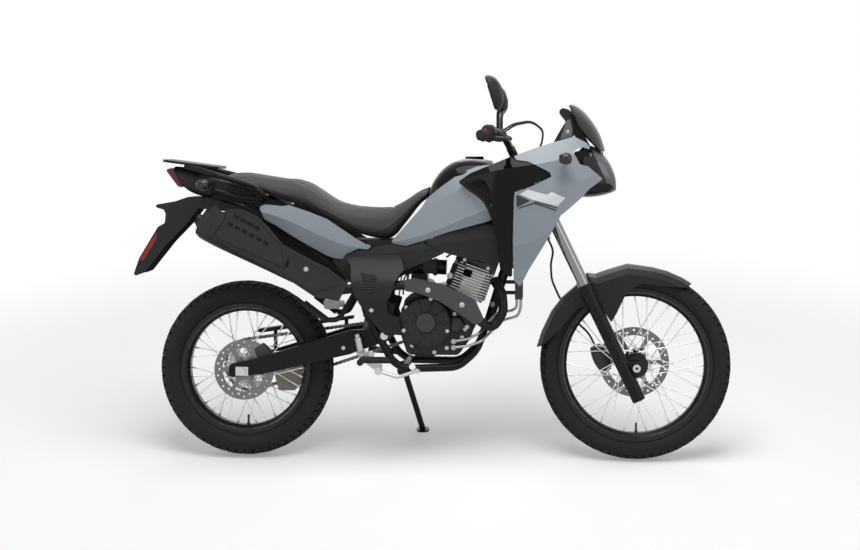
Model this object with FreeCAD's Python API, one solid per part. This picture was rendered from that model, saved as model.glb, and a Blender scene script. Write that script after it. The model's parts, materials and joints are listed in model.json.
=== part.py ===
import FreeCAD, Part
import json
import math
import os

# A dual sport motorcycle with wire wheels, leaning on its side stand.
# It is modelled upright first: x runs forward from the rear axle, y to the rider's left, z up from the ground.
# All lengths are in millimetres and all angles in degrees.
# The last section leans the whole machine on its stand and puts the origin under the middle of its box.

# Driving dimensions
WHEELBASE = 1424.0
SCREEN_TOP = 1290.0
RAKE = 25.5
LEAN = 11.0
TANK_HALF = 150.0
SHROUD_BEYOND = 64.0
SHROUD_HALF = TANK_HALF + SHROUD_BEYOND
SEAT_HALF = 130.0
PANEL_WALL = 3.5
RUNNING_GAP = 0.1
SEAT_GAP = 0.3
CLEARANCE = 6.0
OVERRUN = 20.0

# Wheels and tyres
FRONT_TYRE_RADIUS = 345.0
FRONT_TYRE_WIDTH = 92.0
FRONT_RIM_SEAT = 267.0
FRONT_RIM_WIDTH = 60.0
REAR_TYRE_RADIUS = 321.0
REAR_TYRE_WIDTH = 122.0
REAR_RIM_SEAT = 229.0
REAR_RIM_WIDTH = 78.0
TYRE_WALL = 11.0
SPOKE_COUNT = 36
SPOKE_RADIUS = 1.9
AXLE_RADIUS = 9.0

# Front end
FORK_HALF = 100.0
FORK_TUBE_RADIUS = 20.5
FORK_LEG_RADIUS = 24.0
AXLE_LEAD = 42.0
CLAMP_OFFSET = 32.0
STEERING_LOCK = 40.0
LEG_BELOW_AXLE = 110.0
LEG_ABOVE_AXLE = 347.0
LOWER_CLAMP_AT = 622.0
UPPER_CLAMP_AT = 832.0
CLAMP_THICK = 26.0
BAR_RADIUS = 11.1
BAR_HALF = 405.0
GRIP_RADIUS = 16.5
GRIP_LENGTH = 122.0

# Rear end
ARM_INNER = 88.0
ARM_WALL = 24.0
CHAIN_LINE = 79.5
FRONT_DISC_LINE = 62.0
REAR_DISC_LINE = 70.0
DISC_THICK = 4.0


def vec(x, y, z):
    return FreeCAD.Vector(x, y, z)


def radians(angle):
    return math.radians(angle)


ORIGIN = vec(0, 0, 0)
Y_AXIS = vec(0, 1, 0)
Z_AXIS = vec(0, 0, 1)


def times(direction, length):
    """A direction stretched to a length, with the direction itself left as it was."""
    return vec(direction.x * length, direction.y * length, direction.z * length)


def unit(vector):
    return times(vector, 1 / vector.Length)


def spot(share, y=0.0):
    """A point from its shares of the wheelbase and of the windscreen's height."""
    return vec(share[0] * WHEELBASE, y, share[1] * SCREEN_TOP)


def rod(start, end, radius):
    return Part.makeCylinder(radius, end.sub(start).Length, start, end.sub(start))


def ring(start, end, outer, inner):
    return rod(start, end, outer).cut(rod(start, end, inner))


def fuse(shapes):
    shapes = list(shapes)
    return shapes[0].multiFuse(shapes[1:])


def group(shapes):
    """Like pieces that stay apart, as one node."""
    return Part.makeCompound([solid for shape in shapes for solid in shape.Solids])


def pair(shape):
    """A piece and its mirror image on the other side of the machine."""
    return group([shape, shape.mirror(ORIGIN, Y_AXIS)])


def biggest(shape):
    return max(shape.Solids, key=lambda solid: solid.Volume)


def corner_arc(before, here, after, bend):
    """The start, middle and end of the arc that rounds a corner, as large as its two runs allow."""
    back_way = unit(before.sub(here))
    on_way = unit(after.sub(here))
    half = back_way.getAngle(on_way) / 2
    room = 0.45 * min(before.sub(here).Length, after.sub(here).Length)
    back = min(bend / math.tan(half), room)
    radius = back * math.tan(half)
    inward = unit(back_way.add(on_way))
    middle = here.add(times(inward, radius / math.sin(half) - radius))
    return here.add(times(back_way, back)), middle, here.add(times(on_way, back))


def bent_path(points, bend):
    """Straight runs joined by tangent arcs."""
    edges = []
    last = points[0]
    for i in range(1, len(points) - 1):
        first, middle, final = corner_arc(points[i - 1], points[i], points[i + 1], bend)
        edges.append(Part.LineSegment(last, first).toShape())
        edges.append(Part.Arc(first, middle, final).toShape())
        last = final
    edges.append(Part.LineSegment(last, points[-1]).toShape())
    return Part.Wire(edges)


def tube(points, radius, bend):
    """A round bar that follows a bent path."""
    circle = Part.Wire([Part.makeCircle(radius, points[0], points[1].sub(points[0]))])
    return bent_path(points, bend).makePipeShell([circle], True, False)


def rounded_loop(points, bend):
    """A closed outline whose corners are rounded by arcs."""
    count = len(points)
    arcs = [corner_arc(points[i - 1], points[i], points[(i + 1) % count], bend) for i in range(count)]
    edges = []
    for i, (first, middle, final) in enumerate(arcs):
        edges.append(Part.LineSegment(arcs[i - 1][2], first).toShape())
        edges.append(Part.Arc(first, middle, final).toShape())
    return Part.Wire(edges)


def prism(shares, low, high, bend=0.0):
    """An outline seen from the side, carried across the machine from y = low to y = high."""
    points = [spot(share, low) for share in shares]
    loop = rounded_loop(points, bend) if bend else Part.makePolygon(points + [points[0]])
    return Part.Face(loop).extrude(vec(0, high - low, 0))


def skin(station_shares, half, wall):
    """A panel's wall, lofted along the machine. Each station has the place along the wheelbase and a line
    of points down the panel, as shares of its half width and of the windscreen's height."""
    wires = []
    for place, line_shares in station_shares:
        line = [(a * half, b * SCREEN_TOP) for a, b in line_shares]
        inner = []
        for i, (a, b) in enumerate(line):
            before = line[max(i - 1, 0)]
            after = line[min(i + 1, len(line) - 1)]
            length = math.hypot(after[0] - before[0], after[1] - before[1])
            inner.append((a + wall * (after[1] - before[1]) / length, b - wall * (after[0] - before[0]) / length))
        points = [vec(place * WHEELBASE, a, b) for a, b in line + inner[::-1]]
        wires.append(Part.makePolygon(points + [points[0]]))
    return Part.makeLoft(wires, True, False)


def panel(station_shares, half, outline_shares, bend):
    """A skin trimmed to its outline from the side."""
    return skin(station_shares, half, PANEL_WALL).common(prism(outline_shares, 0, 2 * SHROUD_HALF, bend))


def rounded_section(centre, across, up, half_width, half_height, power, count):
    """A closed smooth loop, between an ellipse and a rectangle, in the plane of two directions."""
    points = []
    for i in range(count):
        turn = 2 * math.pi * (i + 0.5) / count
        c = math.copysign(abs(math.cos(turn)) ** (2 / power), math.cos(turn))
        s = math.copysign(abs(math.sin(turn)) ** (2 / power), math.sin(turn))
        points.append(centre.add(times(across, c * half_width)).add(times(up, s * half_height)))
    curve = Part.BSplineCurve()
    curve.interpolate(points, PeriodicFlag=True)
    return Part.Wire([curve.toShape()])


def smooth(stations, count):
    """The same stations taken again at even steps along the machine, on smooth curves through them."""
    def slope(i, column):
        before = stations[max(i - 1, 0)]
        after = stations[min(i + 1, len(stations) - 1)]
        return (after[column] - before[column]) / (after[0] - before[0])

    out = []
    for n in range(count):
        x = stations[0][0] + (stations[-1][0] - stations[0][0]) * n / (count - 1)
        i = max(j for j in range(len(stations) - 1) if stations[j][0] <= x or j == 0)
        here = stations[i]
        there = stations[i + 1]
        step = there[0] - here[0]
        t = (x - here[0]) / step
        row = [x]
        for k in range(1, len(here)):
            value = (1 + 2 * t) * (1 - t) ** 2 * here[k] + t * t * (3 - 2 * t) * there[k]
            row.append(value + step * t * (1 - t) * ((1 - t) * slope(i, k) - t * slope(i + 1, k)))
        out.append(row)
    return out


def loft(wires, ruled=False):
    return Part.makeLoft(wires, True, ruled)


def revolved(profile, centre):
    """A closed profile of (radius, y) points turned about an axle."""
    points = [vec(r, y, 0) for r, y in profile]
    face = Part.Face(Part.makePolygon(points + [points[0]]))
    return face.revolve(ORIGIN, Y_AXIS, 360).translated(centre)


# The fork line and the steering axis
FORK_UP = vec(-math.sin(radians(RAKE)), 0, math.cos(radians(RAKE)))
FORK_AHEAD = vec(math.cos(radians(RAKE)), 0, math.sin(radians(RAKE)))
FRONT_AXLE = vec(WHEELBASE, 0, FRONT_TYRE_RADIUS)
REAR_AXLE = vec(0, 0, REAR_TYRE_RADIUS)


def fork_point(up, ahead=0.0, y=0.0):
    """A point placed along the fork legs from the front axle, ahead of their line, and across."""
    base = FRONT_AXLE.add(times(FORK_AHEAD, ahead - AXLE_LEAD))
    return base.add(times(FORK_UP, up)).add(vec(0, y, 0))


STEERING_POINT = fork_point(LOWER_CLAMP_AT, -CLAMP_OFFSET)


# Tyres: a round crown, full sides and two beads, open inside where the air is
CROWN_RADIUS_share = 0.56
SHOULDER_TURN = 52.0
BELLY_share = 0.45
RIM_FLANGE = 11.0


def tyre(radius, width, seat, rim_width, centre):
    crown = CROWN_RADIUS_share * width

    def run(wall):
        across = (crown - wall) * math.sin(radians(SHOULDER_TURN))
        shoulder = radius - crown + (crown - wall) * math.cos(radians(SHOULDER_TURN))
        bead_y = rim_width / 2 - SEAT_GAP - wall
        bead = vec(seat + SEAT_GAP, bead_y, 0)
        lip = vec(seat + RIM_FLANGE + SEAT_GAP, bead_y, 0)
        belly = vec(seat + BELLY_share * (radius - seat), width / 2 - wall, 0)
        corner = vec(shoulder, across, 0)
        other = [vec(p.x, -p.y, 0) for p in (bead, lip, belly, corner)]
        edges = [
            Part.LineSegment(bead, lip).toShape(),
            Part.Arc(lip, belly, corner).toShape(),
            Part.Arc(corner, vec(radius - wall, 0, 0), other[3]).toShape(),
            Part.Arc(other[3], other[2], other[1]).toShape(),
            Part.LineSegment(other[1], other[0]).toShape(),
        ]
        return edges, bead, other[0]

    outer, outer_left, outer_right = run(0.0)
    inner, inner_left, inner_right = run(TYRE_WALL)
    edges = outer + inner
    edges.append(Part.LineSegment(outer_left, inner_left).toShape())
    edges.append(Part.LineSegment(outer_right, inner_right).toShape())
    face = Part.Face(Part.Wire(Part.__sortEdges__(edges)))
    return face.revolve(ORIGIN, Y_AXIS, 360).translated(centre)


# Rims: two flanges that hold the beads and a well between them
RIM_WELL = 15.0
RIM_WALL = 4.0
RIM_SHELF_share = 0.8
RIM_WELL_share = 0.42


def rim(seat, width, centre):
    half = width / 2
    shelf = RIM_SHELF_share * half
    well = RIM_WELL_share * half
    outer = [
        (seat + RIM_FLANGE, half + RIM_WALL), (seat + RIM_FLANGE, half), (seat, half), (seat - RIM_WALL, shelf),
        (seat - RIM_WELL, well),
    ]
    inner = [(seat - RIM_WELL - RIM_WALL, well), (seat - 2 * RIM_WALL, shelf), (seat - RIM_WALL, half + RIM_WALL)]
    far_outer = [(r, -y) for r, y in reversed(outer)]
    far_inner = [(r, -y) for r, y in reversed(inner)]
    return revolved(outer + far_outer + far_inner + inner, centre)


# Hubs and spokes: the spokes cross on their way from the flanges to the rim
HUB_BARREL = 25.0
HUB_END = 36.0
HUB_END_THICK = 8.0
HUB_FLANGE = 46.0
HUB_FLANGE_THICK = 5.0
FRONT_FLANGE_AT = 36.0
REAR_FLANGE_AT = 44.0
SPOKE_SWEEP = 60.0
SPOKE_ASIDE = 3.0
SPOKE_ENTRY_share = 0.25
NIPPLE_RADIUS = 3.4
NIPPLE_LENGTH = 16.0


def hub(centre, left, right, flange_at):
    """A hub from y = -right to y = left, with an end boss each side and two spoke flanges."""
    half_flange = HUB_FLANGE_THICK / 2
    profile = [
        (AXLE_RADIUS + RUNNING_GAP, -right), (HUB_END, -right), (HUB_END, -right + HUB_END_THICK),
        (HUB_BARREL, -right + HUB_END_THICK), (HUB_BARREL, -flange_at - half_flange),
        (HUB_FLANGE, -flange_at - half_flange), (HUB_FLANGE, -flange_at + half_flange),
        (HUB_BARREL, -flange_at + half_flange), (HUB_BARREL, flange_at - half_flange),
        (HUB_FLANGE, flange_at - half_flange), (HUB_FLANGE, flange_at + half_flange),
        (HUB_BARREL, flange_at + half_flange), (HUB_BARREL, left - HUB_END_THICK),
        (HUB_END, left - HUB_END_THICK), (HUB_END, left), (AXLE_RADIUS + RUNNING_GAP, left),
    ]
    return revolved(profile, centre)


def spokes(centre, flange_at, rim_inner, rim_half):
    """Crossed spokes, two sets on the edge of each flange, each spoke with a nipple at the rim."""
    out = []
    root = HUB_FLANGE + SPOKE_RADIUS + SEAT_GAP
    for i in range(SPOKE_COUNT):
        side = 1 if i % 2 else -1
        sweep = 1 if (i // 2) % 2 else -1
        rim_turn = radians(i * 360.0 / SPOKE_COUNT)
        hub_turn = rim_turn + radians(sweep * SPOKE_SWEEP)
        hub_y = side * (flange_at + sweep * SPOKE_ASIDE)
        rim_y = side * (SPOKE_ENTRY_share * rim_half + 0.4 * sweep * SPOKE_ASIDE)
        start = vec(root * math.cos(hub_turn), hub_y, root * math.sin(hub_turn))
        outward = vec(math.cos(rim_turn), 0, math.sin(rim_turn))
        tilt = outward.getAngle(times(outward, rim_inner).add(vec(0, rim_y, 0)).sub(start))
        end = times(outward, rim_inner - 1.5 * SEAT_GAP - NIPPLE_RADIUS * math.sin(tilt)).add(vec(0, rim_y, 0))
        back = unit(start.sub(end))
        nipple = rod(end.add(times(back, NIPPLE_LENGTH)), end, NIPPLE_RADIUS)
        out.append(rod(start, end, SPOKE_RADIUS).fuse(nipple).removeSplitter().translated(centre))
    return group(out)


# Brake discs, drilled and carried on six arms
FRONT_DISC_RADIUS = 128.0
REAR_DISC_RADIUS = 110.0
DISC_BAND = 30.0
DISC_HOLES = 28
DISC_HOLE_RADIUS = 4.0
DISC_ARMS = 6
ARM_WIDTH = 16.0


def brake_disc(centre, y, outer):
    inner = outer - DISC_BAND
    start = centre.add(vec(0, y - DISC_THICK / 2, 0))
    end = centre.add(vec(0, y + DISC_THICK / 2, 0))
    band = ring(start, end, outer, inner)
    drills = []
    for i in range(DISC_HOLES):
        turn = 2 * math.pi * i / DISC_HOLES
        reach = (outer + inner) / 2 + (DISC_HOLE_RADIUS if i % 2 else -DISC_HOLE_RADIUS)
        place = start.add(vec(reach * math.cos(turn), -DISC_THICK, reach * math.sin(turn)))
        drills.append(Part.makeCylinder(DISC_HOLE_RADIUS, 3 * DISC_THICK, place, Y_AXIS))
    band = band.cut(Part.makeCompound(drills))
    arms = []
    for i in range(DISC_ARMS):
        arm = Part.makeBox(inner + DISC_THICK, DISC_THICK, ARM_WIDTH, vec(0, -DISC_THICK / 2, -ARM_WIDTH / 2))
        arm.rotate(ORIGIN, Y_AXIS, i * 360.0 / DISC_ARMS)
        arms.append(arm.translated(centre.add(vec(0, y, 0))))
    arms.append(rod(start, end, HUB_END))
    return band.multiFuse(arms).cut(rod(start, end, AXLE_RADIUS + 3 * DISC_THICK))


# The driven sprocket
CHAIN_PITCH = 15.875
REAR_TEETH = 38
FRONT_TEETH = 15
CHAIN_HEIGHT = 14.0
CHAIN_WIDTH = 12.0
SPROCKET_THICK = 6.0
TOOTH_DEPTH = 5.0
LIGHTENING_RADIUS = 13.0
LIGHTENING_AT = 58.0
TOOTH_shares = ((0.0, 0.0), (0.3, 0.0), (0.5, 1.0), (0.8, 1.0))


def pitch_radius(teeth):
    return CHAIN_PITCH / (2 * math.sin(math.pi / teeth))


def toothed_plate(teeth, centre):
    """A toothed disc whose tips stay just inside the chain's rollers."""
    tip = pitch_radius(teeth) - CHAIN_HEIGHT / 2 - SEAT_GAP
    points = []
    for i in range(teeth):
        for share, height in TOOTH_shares:
            turn = 2 * math.pi * (i + share) / teeth
            radius = tip - TOOTH_DEPTH * (1 - height)
            points.append(vec(radius * math.cos(turn), -SPROCKET_THICK / 2, radius * math.sin(turn)))
    face = Part.Face(Part.makePolygon(points + [points[0]]))
    return face.extrude(vec(0, SPROCKET_THICK, 0)).translated(centre)


def rear_sprocket():
    centre = REAR_AXLE.add(vec(0, CHAIN_LINE, 0))
    across = vec(0, SPROCKET_THICK, 0)
    holes = [rod(centre.sub(across), centre.add(across), AXLE_RADIUS + 3 * DISC_THICK)]
    for i in range(DISC_ARMS):
        turn = 2 * math.pi * i / DISC_ARMS
        place = centre.sub(across).add(vec(LIGHTENING_AT * math.cos(turn), 0, LIGHTENING_AT * math.sin(turn)))
        holes.append(rod(place, place.add(times(across, 2)), LIGHTENING_RADIUS))
    return toothed_plate(REAR_TEETH, centre).cut(Part.makeCompound(holes))


def wheels():
    front_left = FRONT_DISC_LINE - DISC_THICK / 2
    rear_left = CHAIN_LINE - SPROCKET_THICK / 2
    rear_right = REAR_DISC_LINE - DISC_THICK / 2
    front_inner = FRONT_RIM_SEAT - RIM_WELL - RIM_WALL
    rear_inner = REAR_RIM_SEAT - RIM_WELL - RIM_WALL
    front_well = RIM_WELL_share * FRONT_RIM_WIDTH / 2
    rear_well = RIM_WELL_share * REAR_RIM_WIDTH / 2
    return {
        "front_tyre": tyre(FRONT_TYRE_RADIUS, FRONT_TYRE_WIDTH, FRONT_RIM_SEAT, FRONT_RIM_WIDTH, FRONT_AXLE),
        "front_rim": rim(FRONT_RIM_SEAT, FRONT_RIM_WIDTH, FRONT_AXLE),
        "front_spokes": spokes(FRONT_AXLE, FRONT_FLANGE_AT, front_inner, front_well),
        "front_hub": hub(FRONT_AXLE, front_left, front_left, FRONT_FLANGE_AT),
        "front_disc": brake_disc(FRONT_AXLE, FRONT_DISC_LINE, FRONT_DISC_RADIUS),
        "rear_tyre": tyre(REAR_TYRE_RADIUS, REAR_TYRE_WIDTH, REAR_RIM_SEAT, REAR_RIM_WIDTH, REAR_AXLE),
        "rear_rim": rim(REAR_RIM_SEAT, REAR_RIM_WIDTH, REAR_AXLE),
        "rear_spokes": spokes(REAR_AXLE, REAR_FLANGE_AT, rear_inner, rear_well),
        "rear_hub": hub(REAR_AXLE, rear_left, rear_right, REAR_FLANGE_AT),
        "rear_disc": brake_disc(REAR_AXLE, -REAR_DISC_LINE, REAR_DISC_RADIUS),
        "rear_sprocket": rear_sprocket(),
    }


# Fork: upper tubes held by two clamps, lower legs that carry the axle in a lug ahead of them
TUBE_IN_LEG = 60.0
TUBE_ABOVE_CLAMP = 8.0
LEG_COLLAR = 26.0
LEG_COLLAR_WALL = 3.0
AXLE_LUG_RADIUS = 19.0
AXLE_LUG_WIDTH = 34.0
LUG_WEB = 20.0
LUG_WEB_HEIGHT = 45.0


def fork_tubes():
    low = LEG_ABOVE_AXLE - TUBE_IN_LEG
    high = UPPER_CLAMP_AT + CLAMP_THICK + TUBE_ABOVE_CLAMP
    return pair(rod(fork_point(low, 0, FORK_HALF), fork_point(high, 0, FORK_HALF), FORK_TUBE_RADIUS))


def fork_legs():
    y = FORK_HALF
    leg = rod(fork_point(-LEG_BELOW_AXLE, 0, y), fork_point(LEG_ABOVE_AXLE, 0, y), FORK_LEG_RADIUS)
    collar_start = fork_point(LEG_ABOVE_AXLE - LEG_COLLAR, 0, y)
    collar = rod(collar_start, fork_point(LEG_ABOVE_AXLE, 0, y), FORK_LEG_RADIUS + LEG_COLLAR_WALL)
    lug = rod(
        FRONT_AXLE.add(vec(0, y - AXLE_LUG_WIDTH / 2, 0)), FRONT_AXLE.add(vec(0, y + AXLE_LUG_WIDTH / 2, 0)),
        AXLE_LUG_RADIUS,
    )
    inside = y - LUG_WEB / 2
    corners = [
        fork_point(LUG_WEB_HEIGHT, 0, inside), fork_point(AXLE_LUG_RADIUS, AXLE_LEAD, inside),
        fork_point(-AXLE_LUG_RADIUS, AXLE_LEAD, inside), fork_point(-LUG_WEB_HEIGHT, 0, inside),
    ]
    web = Part.Face(Part.makePolygon(corners + [corners[0]])).extrude(vec(0, LUG_WEB, 0))
    bore = rod(
        fork_point(LEG_ABOVE_AXLE - TUBE_IN_LEG - SEAT_GAP, 0, y), fork_point(LEG_ABOVE_AXLE + OVERRUN, 0, y),
        FORK_TUBE_RADIUS + SEAT_GAP,
    )
    axle = rod(FRONT_AXLE, FRONT_AXLE.add(vec(0, 2 * FORK_HALF, 0)), AXLE_RADIUS + RUNNING_GAP)
    return pair(leg.multiFuse([collar, lug, web]).cut(bore).cut(axle))


AXLE_BEYOND_LUG = 5.0
AXLE_NUT_RADIUS = 14.0
AXLE_NUT_THICK = 5.0
AXLE_BORE = 5.0
SPACER_WALL = 6.0


def front_axle():
    """A hollow axle with a nut at its right end and a spacer on each side of the wheel."""
    reach = FORK_HALF + AXLE_LUG_WIDTH / 2 + AXLE_BEYOND_LUG
    end = FRONT_AXLE.sub(vec(0, reach, 0))
    bar = rod(end, FRONT_AXLE.add(vec(0, reach, 0)), AXLE_RADIUS)
    nut = rod(end.sub(vec(0, AXLE_NUT_THICK, 0)), end.add(vec(0, AXLE_BEYOND_LUG - SEAT_GAP, 0)), AXLE_NUT_RADIUS)
    parts = [bar, nut]
    lug_face = FORK_HALF - AXLE_LUG_WIDTH / 2 - SEAT_GAP
    for side in (1, -1):
        start = FRONT_AXLE.add(vec(0, side * (FRONT_DISC_LINE + DISC_THICK), 0))
        parts.append(rod(start, FRONT_AXLE.add(vec(0, side * lug_face, 0)), AXLE_RADIUS + SPACER_WALL))
    bore = rod(end.sub(vec(0, OVERRUN, 0)), FRONT_AXLE.add(vec(0, reach + OVERRUN, 0)), AXLE_BORE)
    return fuse(parts).cut(bore)


# Clamps with the steering stem and the handlebar risers
EYE_WALL = 9.0
CLAMP_TAIL = 18.0
CLAMP_TAIL_HALF = 18.0
CLAMP_NOSE = 14.0
STEM_RADIUS = 14.0
RISER_HEIGHT = 48.0
RISER_RADIUS = 15.0
RISER_HALF = 52.0
RISER_AHEAD = 4.0


def clamp_plate(up, thick):
    """One fork clamp: a plate with an eye round each tube, joined at the steering axis."""
    parts = []
    for y in (FORK_HALF, -FORK_HALF):
        parts.append(rod(fork_point(up, 0, y), fork_point(up + thick, 0, y), FORK_TUBE_RADIUS + EYE_WALL))
    tail = -CLAMP_OFFSET - CLAMP_TAIL
    corners = [
        fork_point(up, CLAMP_NOSE, FORK_HALF), fork_point(up, CLAMP_NOSE, -FORK_HALF),
        fork_point(up, -CLAMP_NOSE, -FORK_HALF), fork_point(up, tail, -CLAMP_TAIL_HALF),
        fork_point(up, tail, CLAMP_TAIL_HALF), fork_point(up, -CLAMP_NOSE, FORK_HALF),
    ]
    face = Part.Face(Part.makePolygon(corners + [corners[0]]))
    plate = face.extrude(times(FORK_UP, thick)).multiFuse(parts)
    for y in (FORK_HALF, -FORK_HALF):
        start = fork_point(up - OVERRUN, 0, y)
        plate = plate.cut(rod(start, fork_point(up + thick + OVERRUN, 0, y), FORK_TUBE_RADIUS + SEAT_GAP))
    return plate


LOWER_CLAMP_TOP = LOWER_CLAMP_AT + CLAMP_THICK
UPPER_CLAMP_TOP = UPPER_CLAMP_AT + CLAMP_THICK
BAR_UP = UPPER_CLAMP_TOP + RISER_HEIGHT - BAR_RADIUS - 0.2 * RISER_RADIUS
BAR_CENTRE = fork_point(BAR_UP, RISER_AHEAD - CLAMP_OFFSET)
BAR_END_share = (0.620, 0.913)
BAR_BEND = 90.0
BAR_KNEE_shares = ((0.25, 0.43, 0.8), (0.5, 0.6, 1.0))
BAR_FLAT_share = 0.24


def bar_points():
    """The handlebar's line, from its middle out to the end on the rider's left."""
    end = spot(BAR_END_share, BAR_HALF)
    rise = end.z - BAR_CENTRE.z
    back = end.x - BAR_CENTRE.x
    points = [BAR_CENTRE.add(vec(0, BAR_FLAT_share * BAR_HALF, 0))]
    for back_share, out_share, rise_share in BAR_KNEE_shares:
        points.append(BAR_CENTRE.add(vec(back_share * back, out_share * BAR_HALF, rise_share * rise)))
    return points + [end]


def handlebar(radius=BAR_RADIUS):
    left = bar_points()
    right = [vec(p.x, -p.y, p.z) for p in reversed(left)]
    return tube(right + left, radius, BAR_BEND)


HOSE_TOP = 540.0
HOSE_Y = 45.0
HOSE_BEHIND = 48.0
HOSE_RADIUS = 4.0
HOSE_UNION_RADIUS = 9.0
HOSE_BRACKET = 6.0


def hose_bracket():
    """A tab under the lower clamp that holds the union at the top of the brake hose."""
    low = HOSE_TOP + 2 * HOSE_UNION_RADIUS
    corners = [
        fork_point(LOWER_CLAMP_AT + HOSE_BRACKET, -HOSE_UNION_RADIUS, HOSE_Y),
        fork_point(LOWER_CLAMP_AT + HOSE_BRACKET, -CLAMP_OFFSET, HOSE_Y),
        fork_point(low, -HOSE_BEHIND - HOSE_UNION_RADIUS, HOSE_Y),
        fork_point(low, -HOSE_BEHIND + HOSE_UNION_RADIUS, HOSE_Y),
    ]
    tab = Part.Face(Part.makePolygon(corners + [corners[0]])).extrude(vec(0, HOSE_BRACKET, 0))
    top = fork_point(low + HOSE_UNION_RADIUS, -HOSE_BEHIND, HOSE_Y)
    return [tab, rod(top, fork_point(HOSE_TOP, -HOSE_BEHIND, HOSE_Y), HOSE_UNION_RADIUS)]


def triple_clamps():
    parts = [clamp_plate(LOWER_CLAMP_AT, CLAMP_THICK), clamp_plate(UPPER_CLAMP_AT, CLAMP_THICK)]
    parts += hose_bracket()
    stem_start = fork_point(LOWER_CLAMP_AT + CLAMP_THICK / 2, -CLAMP_OFFSET)
    parts.append(rod(stem_start, fork_point(UPPER_CLAMP_TOP, -CLAMP_OFFSET), STEM_RADIUS))
    ahead = RISER_AHEAD - CLAMP_OFFSET
    for y in (RISER_HALF, -RISER_HALF):
        base = fork_point(UPPER_CLAMP_TOP - CLAMP_THICK / 2, ahead, y)
        parts.append(rod(base, fork_point(UPPER_CLAMP_TOP + RISER_HEIGHT, ahead, y), RISER_RADIUS))
    return fuse(parts).cut(handlebar(BAR_RADIUS + SEAT_GAP))


# Grips, switch boxes, levers and mirrors
END_WEIGHT = 14.0
GRIP_BEYOND = 10.0
BOX_RADIUS = 23.0
BOX_LENGTH = 44.0
HOLDER_RADIUS = 19.0
HOLDER_LENGTH = 24.0
LEVER_RADIUS = 6.0
LEVER_AHEAD = 44.0
LEVER_DROP = 12.0


def along_grip(distance):
    """A point on the left grip's axis, measured inwards from the bar's end."""
    points = bar_points()
    return points[-1].add(times(unit(points[-2].sub(points[-1])), distance))


def bar_hole():
    return handlebar(BAR_RADIUS + SEAT_GAP)


def grips():
    sleeve = rod(along_grip(-GRIP_BEYOND), along_grip(GRIP_LENGTH), GRIP_RADIUS).cut(bar_hole())
    weight = rod(along_grip(-GRIP_BEYOND - END_WEIGHT), along_grip(-GRIP_BEYOND), 0.9 * GRIP_RADIUS)
    return pair(sleeve.fuse(weight))


def controls():
    """A switch box, a lever holder and a lever beside each grip."""
    box_end = GRIP_LENGTH + SEAT_GAP + BOX_LENGTH
    box = rod(along_grip(GRIP_LENGTH + SEAT_GAP), along_grip(box_end), BOX_RADIUS)
    holder = rod(along_grip(box_end), along_grip(box_end + HOLDER_LENGTH), HOLDER_RADIUS)
    middle = along_grip(box_end + HOLDER_LENGTH / 2)
    pivot = middle.add(vec(0.8 * LEVER_AHEAD, 0, -LEVER_DROP))
    link = rod(middle, pivot, 0.5 * HOLDER_RADIUS)
    reach = vec(LEVER_AHEAD, 0, -LEVER_DROP)
    knee = along_grip(0.8 * GRIP_LENGTH).add(times(reach, 1.15))
    lever = tube([pivot, knee, along_grip(0).add(reach)], LEVER_RADIUS, HOLDER_RADIUS)
    return pair(fuse([box, holder, link, lever]).cut(bar_hole()))


CABLE_RADIUS = 3.5
CABLE_share = ((0.692, 0.944, 0.38), (0.737, 0.953, 0.25), (0.767, 0.926, 0.18), (0.763, 0.893, 0.15))
CABLE_CLIP_Y = 56.0
CABLE_CLIP_AHEAD = 40.0


def bar_cables():
    """A cable from each lever holder that loops ahead of the bars and back to the top clamp."""
    inward = unit(along_grip(BOX_LENGTH).sub(along_grip(0)))
    rise = unit(Z_AXIS.sub(times(inward, inward.z)))
    face = along_grip(GRIP_LENGTH + 2 * SEAT_GAP + BOX_LENGTH + HOLDER_LENGTH)
    start = face.add(times(rise, HOLDER_RADIUS - CABLE_RADIUS))
    points = [start, start.add(times(inward, BOX_LENGTH))]
    for x, z, out in CABLE_share:
        points.append(spot((x, z), out * BAR_HALF))
    clip = UPPER_CLAMP_AT + CLAMP_THICK / 2
    points.append(fork_point(clip, CLAMP_NOSE + CABLE_CLIP_AHEAD, CABLE_CLIP_Y))
    points.append(fork_point(clip, CLAMP_NOSE + SEAT_GAP, CABLE_CLIP_Y))
    return pair(tube(points, CABLE_RADIUS, BAR_BEND))


MIRROR_share = (0.651, 1.027)
MIRROR_Y = 372.0
MIRROR_HALF_WIDTH = 62.0
MIRROR_HALF_HEIGHT = 60.0
MIRROR_DEPTH = 44.0
MIRROR_TILT = 17.0
STALK_RADIUS = 6.0
MIRROR_shares = ((-0.45, 0.94), (-0.32, 1.0), (0.09, 0.9), (0.41, 0.6), (0.55, 0.3))


def mirrors():
    """A mirror head on a stalk that stands up from the lever holder."""
    head = spot(MIRROR_share, MIRROR_Y)
    up = vec(-math.sin(radians(MIRROR_TILT)), 0, math.cos(radians(MIRROR_TILT)))
    ahead = vec(math.cos(radians(MIRROR_TILT)), 0, math.sin(radians(MIRROR_TILT)))
    wires = []
    for depth, size in MIRROR_shares:
        centre = head.add(times(ahead, depth * MIRROR_DEPTH))
        wires.append(rounded_section(
            centre, Y_AXIS, up, size * MIRROR_HALF_WIDTH, size * MIRROR_HALF_HEIGHT, 3.2, 12
        ))
    foot = along_grip(GRIP_LENGTH + BOX_LENGTH + HOLDER_LENGTH / 2)
    root = foot.add(vec(0, 0, HOLDER_RADIUS + SEAT_GAP))
    bend = root.add(vec(0, 0, MIRROR_HALF_HEIGHT))
    neck = head.add(times(up, -0.8 * MIRROR_HALF_HEIGHT)).add(times(ahead, 0.1 * MIRROR_DEPTH))
    stalk = tube([root, bend, neck, head], STALK_RADIUS, MIRROR_HALF_HEIGHT / 2)
    return pair(loft(wires).fuse(stalk))


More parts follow.
